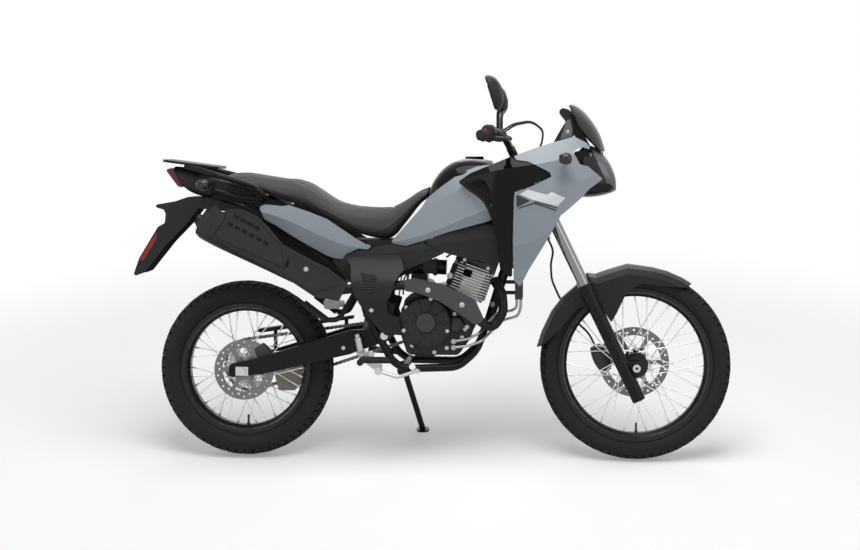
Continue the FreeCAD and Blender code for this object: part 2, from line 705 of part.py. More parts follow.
# Front mudguard: a crowned channel over the tyre, cut to its outline from the side
FENDER_shares = [
    (0.746, 0.304), (0.764, 0.359), (0.789, 0.414), (0.814, 0.454), (0.857, 0.491), (0.878, 0.525),
    (0.899, 0.519), (0.935, 0.529), (0.980, 0.551), (1.009, 0.547), (1.044, 0.537), (1.079, 0.524),
    (1.114, 0.502), (1.143, 0.485), (1.128, 0.487), (1.103, 0.489), (1.061, 0.492), (1.016, 0.498),
    (0.998, 0.488), (0.977, 0.474), (0.952, 0.415), (0.938, 0.390), (0.906, 0.442), (0.885, 0.427),
    (0.860, 0.434), (0.839, 0.411), (0.807, 0.367), (0.764, 0.323),
]
FENDER_CROWN_shares = FENDER_shares[:14]
FENDER_EDGE_shares = FENDER_shares[14:]
FENDER_CLEARANCE = 11.0
FENDER_HALF = 66.0
FENDER_WALL = 3.0
FENDER_DROP = 210.0
FENDER_TAPER = 0.14
FENDER_LINE_shares = ((1.0, 1.0), (1.0, 0.16), (0.86, 0.06), (0.42, 0.01), (0.0, 0.0))
FENDER_BOSS_share = (0.79, 0.89)
FENDER_BOSS_RADIUS = 7.0


def front_fender():
    nose = FENDER_CROWN_shares[-1][0]
    least = FRONT_TYRE_RADIUS + FENDER_CLEARANCE + FENDER_WALL
    wires = []
    above = []
    for share in FENDER_CROWN_shares:
        spoke = spot(share).sub(FRONT_AXLE)
        out = unit(spoke)
        top = FRONT_AXLE.add(times(out, max(spoke.Length, least)))
        above.append(top.add(times(out, OVERRUN)).sub(vec(0, FORK_HALF, 0)))
        half = FENDER_HALF * (1 - FENDER_TAPER * max(0.0, share[0] - 1) / (nose - 1))
        outer = [(a * half, -b * FENDER_DROP) for a, b in FENDER_LINE_shares]
        inner = [(a * (half - FENDER_WALL), -b * FENDER_DROP - FENDER_WALL) for a, b in FENDER_LINE_shares]
        inner[0] = (inner[0][0], -FENDER_DROP)
        outer += [(-a, b) for a, b in reversed(outer[:-1])]
        inner += [(-a, b) for a, b in reversed(inner[:-1])]
        points = [top.add(times(out, b)).add(vec(0, a, 0)) for a, b in outer + inner[::-1]]
        wires.append(Part.makePolygon(points + [points[0]]))
    below = [spot(share, -FORK_HALF) for share in FENDER_EDGE_shares]
    face = Part.Face(Part.makePolygon(above + below + [above[0]]))
    channel = loft(wires, True).common(face.extrude(vec(0, 2 * FORK_HALF, 0)))
    leg = rod(fork_point(0, 0, FORK_HALF), fork_point(LEG_ABOVE_AXLE, 0, FORK_HALF), FORK_LEG_RADIUS + SEAT_GAP)
    bosses = []
    for share in FENDER_BOSS_share:
        up = share * LEG_ABOVE_AXLE
        start = fork_point(up, 0, FENDER_HALF - FENDER_WALL / 2)
        boss = rod(start, fork_point(up, 0, FORK_HALF), FENDER_BOSS_RADIUS).cut(leg)
        bosses += [boss, boss.mirror(ORIGIN, Y_AXIS)]
    return channel.multiFuse(bosses)


# Front brake caliper, on the left leg behind the fork
CALIPER_LENGTH = 100.0
CALIPER_DEPTH = 50.0
CALIPER_WIDTH = 46.0
CALIPER_UP = 64.0
BRACKET_THICK = 8.0


def front_caliper():
    gap = DISC_THICK
    centre = fork_point(CALIPER_UP, -CALIPER_DEPTH - FORK_LEG_RADIUS / 2, FRONT_DISC_LINE)
    section = []
    for place, size in ((-0.5, 0.75), (-0.3, 1.0), (0.3, 1.0), (0.5, 0.75)):
        at = centre.add(times(FORK_UP, place * CALIPER_LENGTH))
        section.append(rounded_section(
            at, FORK_AHEAD, Y_AXIS, size * CALIPER_DEPTH / 2, size * CALIPER_WIDTH / 2, 4, 12
        ))
    slot = ring(
        FRONT_AXLE.add(vec(0, FRONT_DISC_LINE - gap, 0)), FRONT_AXLE.add(vec(0, FRONT_DISC_LINE + gap, 0)),
        FRONT_DISC_RADIUS + gap, HUB_FLANGE,
    )
    body = loft(section).cut(slot)
    plate_y = FRONT_DISC_LINE + CALIPER_WIDTH / 2 - BRACKET_THICK
    corners = [
        fork_point(CALIPER_UP - 0.4 * CALIPER_LENGTH, -CALIPER_DEPTH, plate_y),
        fork_point(CALIPER_UP - 0.4 * CALIPER_LENGTH, 0, plate_y),
        fork_point(CALIPER_UP + 0.4 * CALIPER_LENGTH, 0, plate_y),
        fork_point(CALIPER_UP + 0.4 * CALIPER_LENGTH, -CALIPER_DEPTH, plate_y),
    ]
    plate = Part.Face(Part.makePolygon(corners + [corners[0]])).extrude(vec(0, BRACKET_THICK, 0))
    low = fork_point(-LEG_BELOW_AXLE, 0, FORK_HALF)
    leg = rod(low, fork_point(LEG_ABOVE_AXLE, 0, FORK_HALF), FORK_LEG_RADIUS + SEAT_GAP)
    return body.fuse(plate).cut(leg)


# The brake hose hangs from its union behind the left leg down to the caliper
HOSE_FORK_shares = ((0.92, 1.0, 1.0), (0.84, 1.66, 1.33), (0.74, 2.12, 1.73), (0.62, 2.17, 1.93), (0.50, 2.04, 1.91),
                    (0.39, 1.70, 1.67))


def brake_hose():
    """The points are shares of the union's height up the fork, its way behind the legs and its y."""
    points = [fork_point(HOSE_TOP - SEAT_GAP, -HOSE_BEHIND, HOSE_Y)]
    for up, behind, across in HOSE_FORK_shares:
        points.append(fork_point(up * HOSE_TOP, -behind * HOSE_BEHIND, across * HOSE_Y))
    behind = CALIPER_DEPTH + FORK_LEG_RADIUS / 2
    top = CALIPER_UP + CALIPER_LENGTH / 2 + SEAT_GAP
    points.append(fork_point(top + CALIPER_LENGTH / 2, -behind, FRONT_DISC_LINE))
    points.append(fork_point(top, -behind, FRONT_DISC_LINE))
    return tube(points, HOSE_RADIUS, CALIPER_LENGTH)


# Main frame: steering head, backbone, downtube, two lower rails and their cross tubes
FRAME_RADIUS = 18.0
RAIL_RADIUS = 14.0
HEAD_WALL = 9.0
HEAD_ABOVE_CLAMP = 6.0
HEAD_LENGTH = 150.0
RAIL_FRONT_HALF = 96.0
RAIL_REAR_HALF = 130.0
FRAME_BEND = 80.0
DOWNTUBE_shares = ((0.660, 0.505), (0.627, 0.385))
RAIL_FRONT_shares = ((0.598, 0.310), (0.550, 0.264))
RAIL_REAR_shares = ((0.415, 0.262), (0.385, 0.285), (0.352, 0.350), (0.318, 0.424), (0.300, 0.545))
BACKBONE_shares = ((0.600, 0.700), (0.450, 0.620), (0.340, 0.560), (0.300, 0.540))
PIVOT_share = (0.366, 0.3535)
PIVOT_BOLT_RADIUS = 9.0
PIVOT_BOSS_RADIUS = 22.0
PIVOT_BOSS_LENGTH = 20.0
PIVOT_FACE = RAIL_REAR_HALF - RAIL_RADIUS + PIVOT_BOSS_LENGTH
TANK_PAD_RADIUS = 9.0


def downtube(radius):
    head_low = LOWER_CLAMP_TOP + HEAD_ABOVE_CLAMP
    joint = fork_point(head_low + 2.5 * FRAME_RADIUS, -CLAMP_OFFSET - 0.7 * FRAME_RADIUS)
    return tube([joint] + [spot(s) for s in DOWNTUBE_shares], radius, 4 * FRAME_BEND)


def main_frame():
    head_low = LOWER_CLAMP_TOP + HEAD_ABOVE_CLAMP
    head_high = UPPER_CLAMP_AT - HEAD_ABOVE_CLAMP
    head = rod(fork_point(head_low, -CLAMP_OFFSET), fork_point(head_high, -CLAMP_OFFSET), STEM_RADIUS + HEAD_WALL)
    high_joint = fork_point(head_high - 2 * FRAME_RADIUS, -CLAMP_OFFSET)
    parts = [head, downtube(FRAME_RADIUS)]
    parts.append(tube([high_joint] + [spot(s) for s in BACKBONE_shares], FRAME_RADIUS, 2 * FRAME_BEND))
    split = spot(DOWNTUBE_shares[-1]).add(vec(0, 0, RAIL_RADIUS))
    for side in (1, -1):
        rail = [split] + [spot(s, side * RAIL_FRONT_HALF) for s in RAIL_FRONT_shares]
        rail += [spot(s, side * RAIL_REAR_HALF) for s in RAIL_REAR_shares]
        parts.append(tube(rail, RAIL_RADIUS, FRAME_BEND))
        pivot = spot(PIVOT_share, side * (RAIL_REAR_HALF - RAIL_RADIUS))
        parts.append(rod(pivot, pivot.add(vec(0, side * PIVOT_BOSS_LENGTH, 0)), PIVOT_BOSS_RADIUS))
    for share in (RAIL_REAR_shares[0], RAIL_REAR_shares[4]):
        parts.append(rod(spot(share, -RAIL_REAR_HALF), spot(share, RAIL_REAR_HALF), RAIL_RADIUS))
    room = tube([high_joint] + [spot(s) for s in BACKBONE_shares], FRAME_RADIUS + CLEARANCE - SEAT_GAP, 2 * FRAME_BEND)
    pad_line = [spot(BACKBONE_shares[0], side * (FRAME_RADIUS + 2 * CLEARANCE)) for side in (-1, 1)]
    parts.append(rod(pad_line[0], pad_line[1], TANK_PAD_RADIUS).common(room))
    parts += stand_bracket()
    stem_start = fork_point(LOWER_CLAMP_AT, -CLAMP_OFFSET)
    stem = rod(stem_start, fork_point(UPPER_CLAMP_TOP, -CLAMP_OFFSET), STEM_RADIUS + RUNNING_GAP)
    bolt = rod(spot(PIVOT_share, -2 * RAIL_REAR_HALF), spot(PIVOT_share, 2 * RAIL_REAR_HALF), PIVOT_BOLT_RADIUS)
    recesses = []
    for side in (1, -1):
        face = spot(PIVOT_share, side * PIVOT_FACE)
        recesses.append(rod(face, face.add(vec(0, side * 2 * OVERRUN, 0)), AXLE_NUT_RADIUS + SEAT_GAP))
    return fuse(parts).cut(stem).cut(bolt).cut(Part.makeCompound(recesses))


# Subframe: two rails under the seat out to the tail, each with a strut below
SUBFRAME_HALF = 84.0
SUBFRAME_RADIUS = 11.0
UPPER_RAIL_shares = ((0.310, 0.592), (0.140, 0.665), (-0.020, 0.738), (-0.075, 0.757))
STRUT_shares = ((0.304, 0.500), (0.100, 0.660), (-0.010, 0.732))


def subframe():
    parts = []
    for side in (1, -1):
        rail = [spot(BACKBONE_shares[-1], side * SUBFRAME_HALF)]
        rail += [spot(s, side * SUBFRAME_HALF) for s in UPPER_RAIL_shares]
        parts.append(tube(rail, SUBFRAME_RADIUS, FRAME_BEND))
        parts.append(tube([spot(s, side * SUBFRAME_HALF) for s in STRUT_shares], SUBFRAME_RADIUS, FRAME_BEND))
    for share in (UPPER_RAIL_shares[1], UPPER_RAIL_shares[3]):
        parts.append(rod(spot(share, -SUBFRAME_HALF), spot(share, SUBFRAME_HALF), SUBFRAME_RADIUS))
    top = RAIL_REAR_shares[-1]
    seat_tube = rod(spot(top, -RAIL_REAR_HALF), spot(top, RAIL_REAR_HALF), RAIL_RADIUS + SEAT_GAP)
    backbone = tube([spot(s) for s in BACKBONE_shares], FRAME_RADIUS + SEAT_GAP, 2 * FRAME_BEND)
    return fuse(parts).cut(seat_tube).cut(backbone)


def subframe_space():
    """The room that the subframe's tubes take in what sits on them."""
    tubes = []
    for side in (1, -1):
        for line in (UPPER_RAIL_shares, STRUT_shares):
            points = [spot(s, side * SUBFRAME_HALF) for s in line]
            tubes.append(tube(points, SUBFRAME_RADIUS + SEAT_GAP, FRAME_BEND))
    return fuse(tubes)


# Swingarm: two box arms joined by a cross member, pivoting on a bolt through the frame
SWINGARM_shares = [
    (-0.034, 0.267), (0.044, 0.287), (0.277, 0.366), (0.366, 0.372), (0.383, 0.353), (0.366, 0.335),
    (0.277, 0.299), (0.049, 0.240), (-0.034, 0.231),
]
CROSS_shares = ((0.262, 0.312), (0.262, 0.346), (0.304, 0.358), (0.304, 0.318))
PIVOT_TUBE_RADIUS = 17.0
ARM_BEND = 12.0
SLOT_HALF = 22.0


def swingarm():
    arm = prism(SWINGARM_shares, ARM_INNER, ARM_INNER + ARM_WALL, ARM_BEND)
    slot = Part.makeBox(
        2 * SLOT_HALF, 2 * OVERRUN + ARM_WALL, 2 * (AXLE_RADIUS + RUNNING_GAP),
        REAR_AXLE.add(vec(-SLOT_HALF, ARM_INNER - OVERRUN, -AXLE_RADIUS - RUNNING_GAP)),
    )
    arm = arm.cut(slot)
    cross = prism(CROSS_shares, -ARM_INNER - ARM_WALL / 2, ARM_INNER + ARM_WALL / 2, ARM_BEND)
    outer = ARM_INNER + ARM_WALL
    pivot = rod(spot(PIVOT_share, -outer), spot(PIVOT_share, outer), PIVOT_TUBE_RADIUS)
    bolt = rod(spot(PIVOT_share, -2 * outer), spot(PIVOT_share, 2 * outer), PIVOT_BOLT_RADIUS + RUNNING_GAP)
    return fuse([arm, arm.mirror(ORIGIN, Y_AXIS), cross, pivot]).cut(bolt)


ADJUSTER_THICK = 5.0
ADJUSTER_LENGTH = 46.0
ADJUSTER_HEIGHT = 32.0
PIVOT_HEAD = 6.0


def rear_axle():
    """The rear axle with its chain adjuster plates, nut and wheel spacers."""
    outer = ARM_INNER + ARM_WALL + SEAT_GAP
    reach = outer + ADJUSTER_THICK + AXLE_NUT_THICK
    parts = [rod(REAR_AXLE.sub(vec(0, reach, 0)), REAR_AXLE.add(vec(0, reach, 0)), AXLE_RADIUS)]
    for side in (1, -1):
        y = outer if side > 0 else -outer - ADJUSTER_THICK
        place = REAR_AXLE.add(vec(-ADJUSTER_LENGTH / 2, y, -ADJUSTER_HEIGHT / 2))
        parts.append(Part.makeBox(ADJUSTER_LENGTH, ADJUSTER_THICK, ADJUSTER_HEIGHT, place))
        face = REAR_AXLE.add(vec(0, side * (outer + ADJUSTER_THICK), 0))
        parts.append(rod(face, face.add(vec(0, side * 2 * AXLE_NUT_THICK, 0)), AXLE_NUT_RADIUS))
        inner = CHAIN_LINE + SPROCKET_THICK if side > 0 else REAR_DISC_LINE + DISC_THICK
        start = REAR_AXLE.add(vec(0, side * inner, 0))
        parts.append(rod(start, REAR_AXLE.add(vec(0, side * (ARM_INNER - SEAT_GAP), 0)), AXLE_RADIUS + SPACER_WALL))
    return fuse(parts)


def pivot_bolt():
    reach = PIVOT_FACE + SEAT_GAP
    parts = [rod(spot(PIVOT_share, -reach), spot(PIVOT_share, reach), PIVOT_BOLT_RADIUS - RUNNING_GAP)]
    for side in (1, -1):
        face = spot(PIVOT_share, side * reach)
        parts.append(rod(face, face.add(vec(0, side * PIVOT_HEAD, 0)), AXLE_NUT_RADIUS))
    return fuse(parts)


# Rear shock absorber: a body, a rod and a coil drawn as separate turns
SHOCK_LOW_share = (0.314, 0.348)
SHOCK_HIGH_share = (0.345, 0.542)
SHOCK_BODY_RADIUS = 22.0
COIL_RADIUS = 30.0
COIL_WIRE = 5.5
COIL_TURNS = 7


def rear_shock():
    low = spot(SHOCK_LOW_share)
    high = spot(SHOCK_HIGH_share)
    way = high.sub(low)
    parts = [rod(low, high, SHOCK_BODY_RADIUS)]
    for i in range(COIL_TURNS):
        place = low.add(times(way, (i + 1) / (COIL_TURNS + 1)))
        parts.append(Part.makeTorus(COIL_RADIUS - COIL_WIRE, COIL_WIRE, place, way))
    backbone = tube([spot(s) for s in BACKBONE_shares], FRAME_RADIUS + SEAT_GAP, 2 * FRAME_BEND)
    cross = prism(CROSS_shares, -ARM_INNER, ARM_INNER, ARM_BEND).translated(vec(SEAT_GAP, 0, SEAT_GAP))
    return biggest(fuse(parts).cut(backbone).cut(cross))


# Engine: the cases, their covers, and a finned cylinder that leans forward
CASE_HALF = 70.0
CASE_BEND = 24.0
CRANKCASE_shares = [
    (0.421, 0.295), (0.551, 0.295), (0.581, 0.341), (0.602, 0.412), (0.575, 0.462), (0.517, 0.492),
    (0.456, 0.484), (0.414, 0.452), (0.399, 0.367),
]
COVER_SEAM_shares = [
    (0.425, 0.305), (0.545, 0.303), (0.582, 0.350), (0.586, 0.395), (0.556, 0.445), (0.500, 0.470),
    (0.440, 0.468), (0.408, 0.430), (0.405, 0.360),
]
CLUTCH_share = (0.472, 0.393)
CLUTCH_RADIUS = 98.0
CLUTCH_CAP_RADIUS = 40.0
FILTER_share = (0.547, 0.386)
FILTER_RADIUS = 30.0
SIDE_CASE_HALF = 118.0
CLUTCH_OUTER = 158.0
CLUTCH_CAP_OUTER = 165.0
FILTER_OUTER = 142.0
GENERATOR_share = (0.540, 0.388)
GENERATOR_RADIUS = 78.0
GENERATOR_OUTER = 140.0
DOME_share = 0.86


def crankcase():
    core = prism(CRANKCASE_shares, -CASE_HALF, CASE_HALF, CASE_BEND)
    lug_start = spot(CRANKCASE_shares[0], -CASE_HALF / 2).add(vec(CASE_BEND, 0, -CASE_BEND / 2))
    sump = Part.makeBox(3 * CASE_BEND, CASE_HALF, CASE_BEND, lug_start)
    return core.fuse(sump)


def domed(share, start, end, radius):
    """A round cover whose outer edge is drawn in."""
    shoulder = start + 0.7 * (end - start)
    profile = [
        (0, start), (radius, start), (radius, shoulder), (DOME_share * radius, end), (0, end),
    ]
    return revolved(profile, spot(share))


def engine_covers():
    """The clutch side on the right and the generator side on the left, as two solids."""
    right = [
        prism(COVER_SEAM_shares, -SIDE_CASE_HALF, -CASE_HALF - SEAT_GAP, CASE_BEND),
        domed(CLUTCH_share, -SIDE_CASE_HALF + CASE_BEND, -CLUTCH_OUTER, CLUTCH_RADIUS),
        domed(CLUTCH_share, -SIDE_CASE_HALF, -CLUTCH_CAP_OUTER, CLUTCH_CAP_RADIUS),
        domed(FILTER_share, -SIDE_CASE_HALF + CASE_BEND, -FILTER_OUTER, FILTER_RADIUS),
    ]
    left = [
        prism(COVER_SEAM_shares[1:6], CASE_HALF + SEAT_GAP, SIDE_CASE_HALF, CASE_BEND),
        domed(GENERATOR_share, SIDE_CASE_HALF - CASE_BEND, GENERATOR_OUTER, GENERATOR_RADIUS),
    ]
    return group([fuse(right), fuse(left)])


CYLINDER_BASE_share = (0.565, 0.458)
CYLINDER_LEAN = 20.0
BARREL_HEIGHT = 86.0
HEAD_HEIGHT = 58.0
HEAD_COVER_HEIGHT = 34.0
FIN_HALF_LENGTH = 74.0
FIN_HALF_WIDTH = 78.0
BARREL_share = 0.72
FIN_THICK = 3.0
FIN_PITCH = 10.5


def cylinder():
    """Barrel, head and head cover in one axis, with cooling fins cut from rounded plates."""
    tilt = radians(CYLINDER_LEAN)
    up = vec(math.sin(tilt), 0, math.cos(tilt))
    ahead = vec(math.cos(tilt), 0, -math.sin(tilt))
    base = spot(CYLINDER_BASE_share)

    def slab(low, high, size, power=6):
        wires = []
        for height in (low, high):
            wires.append(rounded_section(
                base.add(times(up, height)), ahead, Y_AXIS, size * FIN_HALF_LENGTH, size * FIN_HALF_WIDTH, power, 12
            ))
        return loft(wires)

    top = BARREL_HEIGHT + HEAD_HEIGHT
    parts = [slab(0, top, BARREL_share), slab(top, top + HEAD_COVER_HEIGHT, 0.8), slab(0, 2 * FIN_THICK, 0.9)]
    for i in range(int((top - FIN_PITCH) / FIN_PITCH)):
        low = (i + 1) * FIN_PITCH
        parts.append(slab(low, low + FIN_THICK, 1.0))
    case = prism(CRANKCASE_shares, -CASE_HALF - OVERRUN, CASE_HALF + OVERRUN, CASE_BEND)
    port = rod(*[spot((x, z), -out * PIPE_OUT) for x, z, out in PIPE_shares[:2]], PIPE_RADIUS + SEAT_GAP)
    return fuse(parts).cut(case).cut(port)


# Exhaust: the pipe, its guard, the silencer and its guard
PIPE_RADIUS = 17.0
PIPE_BEND = 60.0
PIPE_shares = (
    (0.640, 0.505, 0.20), (0.662, 0.470, 0.42), (0.666, 0.420, 0.52), (0.638, 0.368, 0.60), (0.594, 0.408, 0.92),
    (0.540, 0.462, 1.00), (0.440, 0.498, 1.08), (0.340, 0.494, 1.16), (0.260, 0.484, 1.23),
)
PIPE_BEYOND = 2.0
PIPE_OUT = TANK_HALF + PIPE_BEYOND
SILENCER_BEYOND = 40.0
SILENCER_OUT = TANK_HALF + SILENCER_BEYOND
SILENCER_shares = (
    (0.268, 0.486, 0.55), (0.225, 0.502, 0.72), (0.150, 0.542, 0.90), (0.050, 0.597, 0.98), (-0.080, 0.667, 1.0),
    (-0.092, 0.674, 0.86),
)
SILENCER_HALF = 57.0
SILENCER_SQUASH = 0.98
OUTLET_RADIUS = 20.0
HANGER_share = (0.050, 0.620)
HANGER_TOP_share = (0.050, 0.6927)
HANGER_RADIUS = 7.0


def exhaust_pipe():
    points = [spot((x, z), -out * PIPE_OUT) for x, z, out in PIPE_shares]
    return tube(points, PIPE_RADIUS, PIPE_BEND)


def muffler():
    way = unit(spot(SILENCER_shares[-1][:2]).sub(spot(SILENCER_shares[0][:2])))
    up = vec(-way.z, 0, way.x)
    if up.z < 0:
        up = times(up, -1)
    wires = []
    for x, z, size in SILENCER_shares:
        half = size * SILENCER_HALF
        wires.append(rounded_section(spot((x, z), -SILENCER_OUT), Y_AXIS, up, SILENCER_SQUASH * half, half, 2.2, 12))
    body = loft(wires[:-1]).fuse(loft(wires[-2:], True))
    tail = spot(SILENCER_shares[-1][:2], -SILENCER_OUT)
    outlet = rod(tail.sub(times(way, OUTLET_RADIUS)), tail.add(times(way, OVERRUN)), OUTLET_RADIUS)
    end = PIPE_shares[-1]
    last = spot(end[:2], -end[2] * PIPE_OUT)
    before = spot(PIPE_shares[-2][:2], -PIPE_shares[-2][2] * PIPE_OUT)
    socket = rod(before.add(times(last.sub(before), 0.5)), last.add(times(unit(last.sub(before)), SEAT_GAP)),
                 PIPE_RADIUS + SEAT_GAP)
    foot = spot(HANGER_share, -SILENCER_OUT + SILENCER_HALF / 2)
    hanger = rod(foot, spot(HANGER_TOP_share, -SUBFRAME_HALF), HANGER_RADIUS)
    hanger = max(hanger.cut(subframe_space()).Solids, key=lambda solid: -solid.BoundBox.YMin)
    return body.multiFuse([outlet, hanger]).cut(socket)


MUFFLER_GUARD_shares = [
    (-0.050, 0.719), (-0.029, 0.698), (-0.018, 0.710), (0.016, 0.709), (0.056, 0.690), (0.086, 0.658),
    (0.123, 0.609), (0.235, 0.547), (0.283, 0.505), (0.261, 0.458), (0.202, 0.467), (0.101, 0.540),
    (-0.062, 0.629), (-0.079, 0.625), (-0.100, 0.667),
]
GUARD_WALL = 2.5
GUARD_SLOTS_share = ((0.010, 0.664, 4), (0.004, 0.632, 6))
SLOT_STEP_share = (0.032, -0.018)
SLOT_HEIGHT = 26.0
SLOT_WIDTH = 11.0


def muffler_guard():
    """A shield over the outside of the silencer, with two rows of slots."""
    low = -SILENCER_OUT - SILENCER_HALF - 2 * GUARD_WALL
    plate = prism(MUFFLER_GUARD_shares, low, low + GUARD_WALL, CLEARANCE)
    slots = []
    for x, z, count in GUARD_SLOTS_share:
        for i in range(count):
            centre = spot((x + i * SLOT_STEP_share[0], z + i * SLOT_STEP_share[1]), low)
            slot = Part.makeBox(
                SLOT_WIDTH, OVERRUN, SLOT_HEIGHT, centre.sub(vec(SLOT_WIDTH / 2, OVERRUN / 2, SLOT_HEIGHT / 2))
            )
            slot.rotate(centre, Y_AXIS, CYLINDER_LEAN)
            slots.append(slot)
    posts = []
    for place in (1, 3):
        x, z, size = SILENCER_shares[place]
        start = spot((x, z), -SILENCER_OUT - size * SILENCER_SQUASH * SILENCER_HALF - 3 * SEAT_GAP)
        posts.append(rod(start, vec(start.x, low, start.z), SLOT_WIDTH / 2))
    return plate.cut(Part.makeCompound(slots)).multiFuse(posts)


PIPE_GUARD_shares = [
    (0.419, 0.512), (0.445, 0.518), (0.515, 0.502), (0.572, 0.473), (0.598, 0.458), (0.619, 0.406),
    (0.610, 0.395), (0.594, 0.391), (0.559, 0.420), (0.505, 0.455), (0.457, 0.476), (0.421, 0.482),
]


def pipe_guard():
    """A plate over the outside of the pipe, held off it by two short posts."""
    low = -PIPE_OUT * 1.08 - PIPE_RADIUS - 3 * GUARD_WALL
    plate = prism(PIPE_GUARD_shares, low, low + GUARD_WALL, CLEARANCE)
    posts = []
    for place in (5, 6):
        x, z, out = PIPE_shares[place]
        start = spot((x, z), -out * PIPE_OUT - PIPE_RADIUS - 3 * SEAT_GAP)
        posts.append(rod(start, vec(start.x, low, start.z), 0.5 * SLOT_WIDTH))
    return plate.multiFuse(posts)


# Oil cooler: a small finned core in front of the downtube
COOLER_share = (0.672, 0.482)
COOLER_WIDTH = 130.0
COOLER_HEIGHT = 78.0
COOLER_DEPTH = 28.0
COOLER_FINS = 6
COOLER_LUG_RADIUS = 7.0


def oil_cooler():
    centre = spot(COOLER_share).add(vec(COOLER_DEPTH + FRAME_RADIUS, 0, 0))
    tank_width = 0.1 * COOLER_WIDTH
    parts = []
    for y in (-COOLER_WIDTH / 2, COOLER_WIDTH / 2 - tank_width):
        corner = centre.add(vec(-COOLER_DEPTH / 2, y, -COOLER_HEIGHT / 2))
        parts.append(Part.makeBox(COOLER_DEPTH, tank_width, COOLER_HEIGHT, corner))
    pitch = COOLER_HEIGHT / COOLER_FINS
    for i in range(COOLER_FINS):
        corner = centre.add(vec(-COOLER_DEPTH / 2, -COOLER_WIDTH / 2, -COOLER_HEIGHT / 2 + (i + 0.25) * pitch))
        parts.append(Part.makeBox(COOLER_DEPTH, COOLER_WIDTH, pitch / 2, corner))
    for height in (-COOLER_HEIGHT / 4, COOLER_HEIGHT / 4):
        end = centre.add(vec(0, 0, height))
        parts.append(rod(vec(DOWNTUBE_shares[0][0] * WHEELBASE, 0, end.z), end, COOLER_LUG_RADIUS))
    return fuse(parts).cut(downtube(FRAME_RADIUS + SEAT_GAP))


OIL_LINE_RADIUS = 5.0
OIL_LINE_shares = (
    ((0.541, 0.339, 1.08), (0.574, 0.345, 1.08), (0.602, 0.358, 1.00), (0.616, 0.374, 0.72), (0.648, 0.412, 0.36),
     (0.688, 0.420, 0.42)),
    ((0.541, 0.322, 1.08), (0.580, 0.327, 1.08), (0.610, 0.339, 0.98), (0.630, 0.358, 0.68), (0.664, 0.392, 0.34),
     (0.702, 0.404, 0.42)),
)
BANJO_RADIUS = 9.0


def oil_lines():
    """Two pipes from banjo unions on the right cover round the frame to the cooler's right tank."""
    bottom = spot(COOLER_share).z - COOLER_HEIGHT / 2 - SEAT_GAP
    out = COOLER_WIDTH * 0.45
    lines = []
    for n, shares in enumerate(OIL_LINE_shares):
        points = [spot((x, z), -y * SIDE_CASE_HALF) for x, z, y in shares]
        place = spot(COOLER_share, -out).x + COOLER_DEPTH + FRAME_RADIUS + (n - 0.5) * COOLER_DEPTH / 2
        points.append(vec(place, -out, bottom - COOLER_DEPTH))
        points.append(vec(place, -out, bottom))
        x, z, y = shares[0]
        banjo = rod(spot((x, z), -SIDE_CASE_HALF - SEAT_GAP), spot((x, z), -SIDE_CASE_HALF - 2 * BANJO_RADIUS), BANJO_RADIUS)
        lines.append(banjo.fuse(tube(points, OIL_LINE_RADIUS, COOLER_DEPTH)))
    return group(lines)


# Fuel tank: a hollowed body over the backbone, with a filler cap
TANK_shares = (
    (0.472, 0.742, 0.690, 0.60), (0.500, 0.806, 0.668, 0.76), (0.545, 0.841, 0.662, 0.84),
    (0.620, 0.844, 0.664, 0.86), (0.668, 0.842, 0.720, 0.84),
)
CAP_share = (0.590, 0.846)
CAP_RADIUS = 34.0
CAP_HEIGHT = 9.0


def tank_body(grow=0.0):
    wires = []
    for x, top, bottom, size in TANK_shares:
        centre = spot((x, (top + bottom) / 2))
        half_height = (top - bottom) / 2 * SCREEN_TOP + grow
        wires.append(rounded_section(centre, Y_AXIS, Z_AXIS, size * TANK_HALF + grow, half_height, 3.2, 14))
    return loft(wires)


def fork_room():
    """The room behind the steering head that the clamps and tubes turn into at full lock."""
    turn = radians(STEERING_LOCK)
    eye = FORK_TUBE_RADIUS + EYE_WALL + CLEARANCE
    behind = FORK_HALF * math.sin(turn) - CLAMP_OFFSET * math.cos(turn) + eye
    outside = math.hypot(FORK_HALF, CLAMP_OFFSET) + eye
    ahead = -CLAMP_OFFSET + outside
    low = LOWER_CLAMP_AT - CLEARANCE
    high = UPPER_CLAMP_TOP + RISER_HEIGHT
    corners = [
        fork_point(low, -CLAMP_OFFSET - behind, -outside), fork_point(low, ahead, -outside),
        fork_point(low, ahead, outside), fork_point(low, -CLAMP_OFFSET - behind, outside),
    ]
    return Part.Face(rounded_loop(corners, CLAMP_TAIL)).extrude(times(FORK_UP, high - low))


def fuel_tank():
    body = tank_body()
    cap = rod(spot(CAP_share).sub(vec(0, 0, 2 * CAP_HEIGHT)), spot(CAP_share).add(vec(0, 0, CAP_HEIGHT)), CAP_RADIUS)
    head_high = UPPER_CLAMP_AT - HEAD_ABOVE_CLAMP
    high_joint = fork_point(head_high - 2 * FRAME_RADIUS, -CLAMP_OFFSET)
    tunnel = tube([high_joint] + [spot(s) for s in BACKBONE_shares], FRAME_RADIUS + CLEARANCE, 2 * FRAME_BEND)
    return body.fuse(cap).cut(tunnel).cut(fork_room())


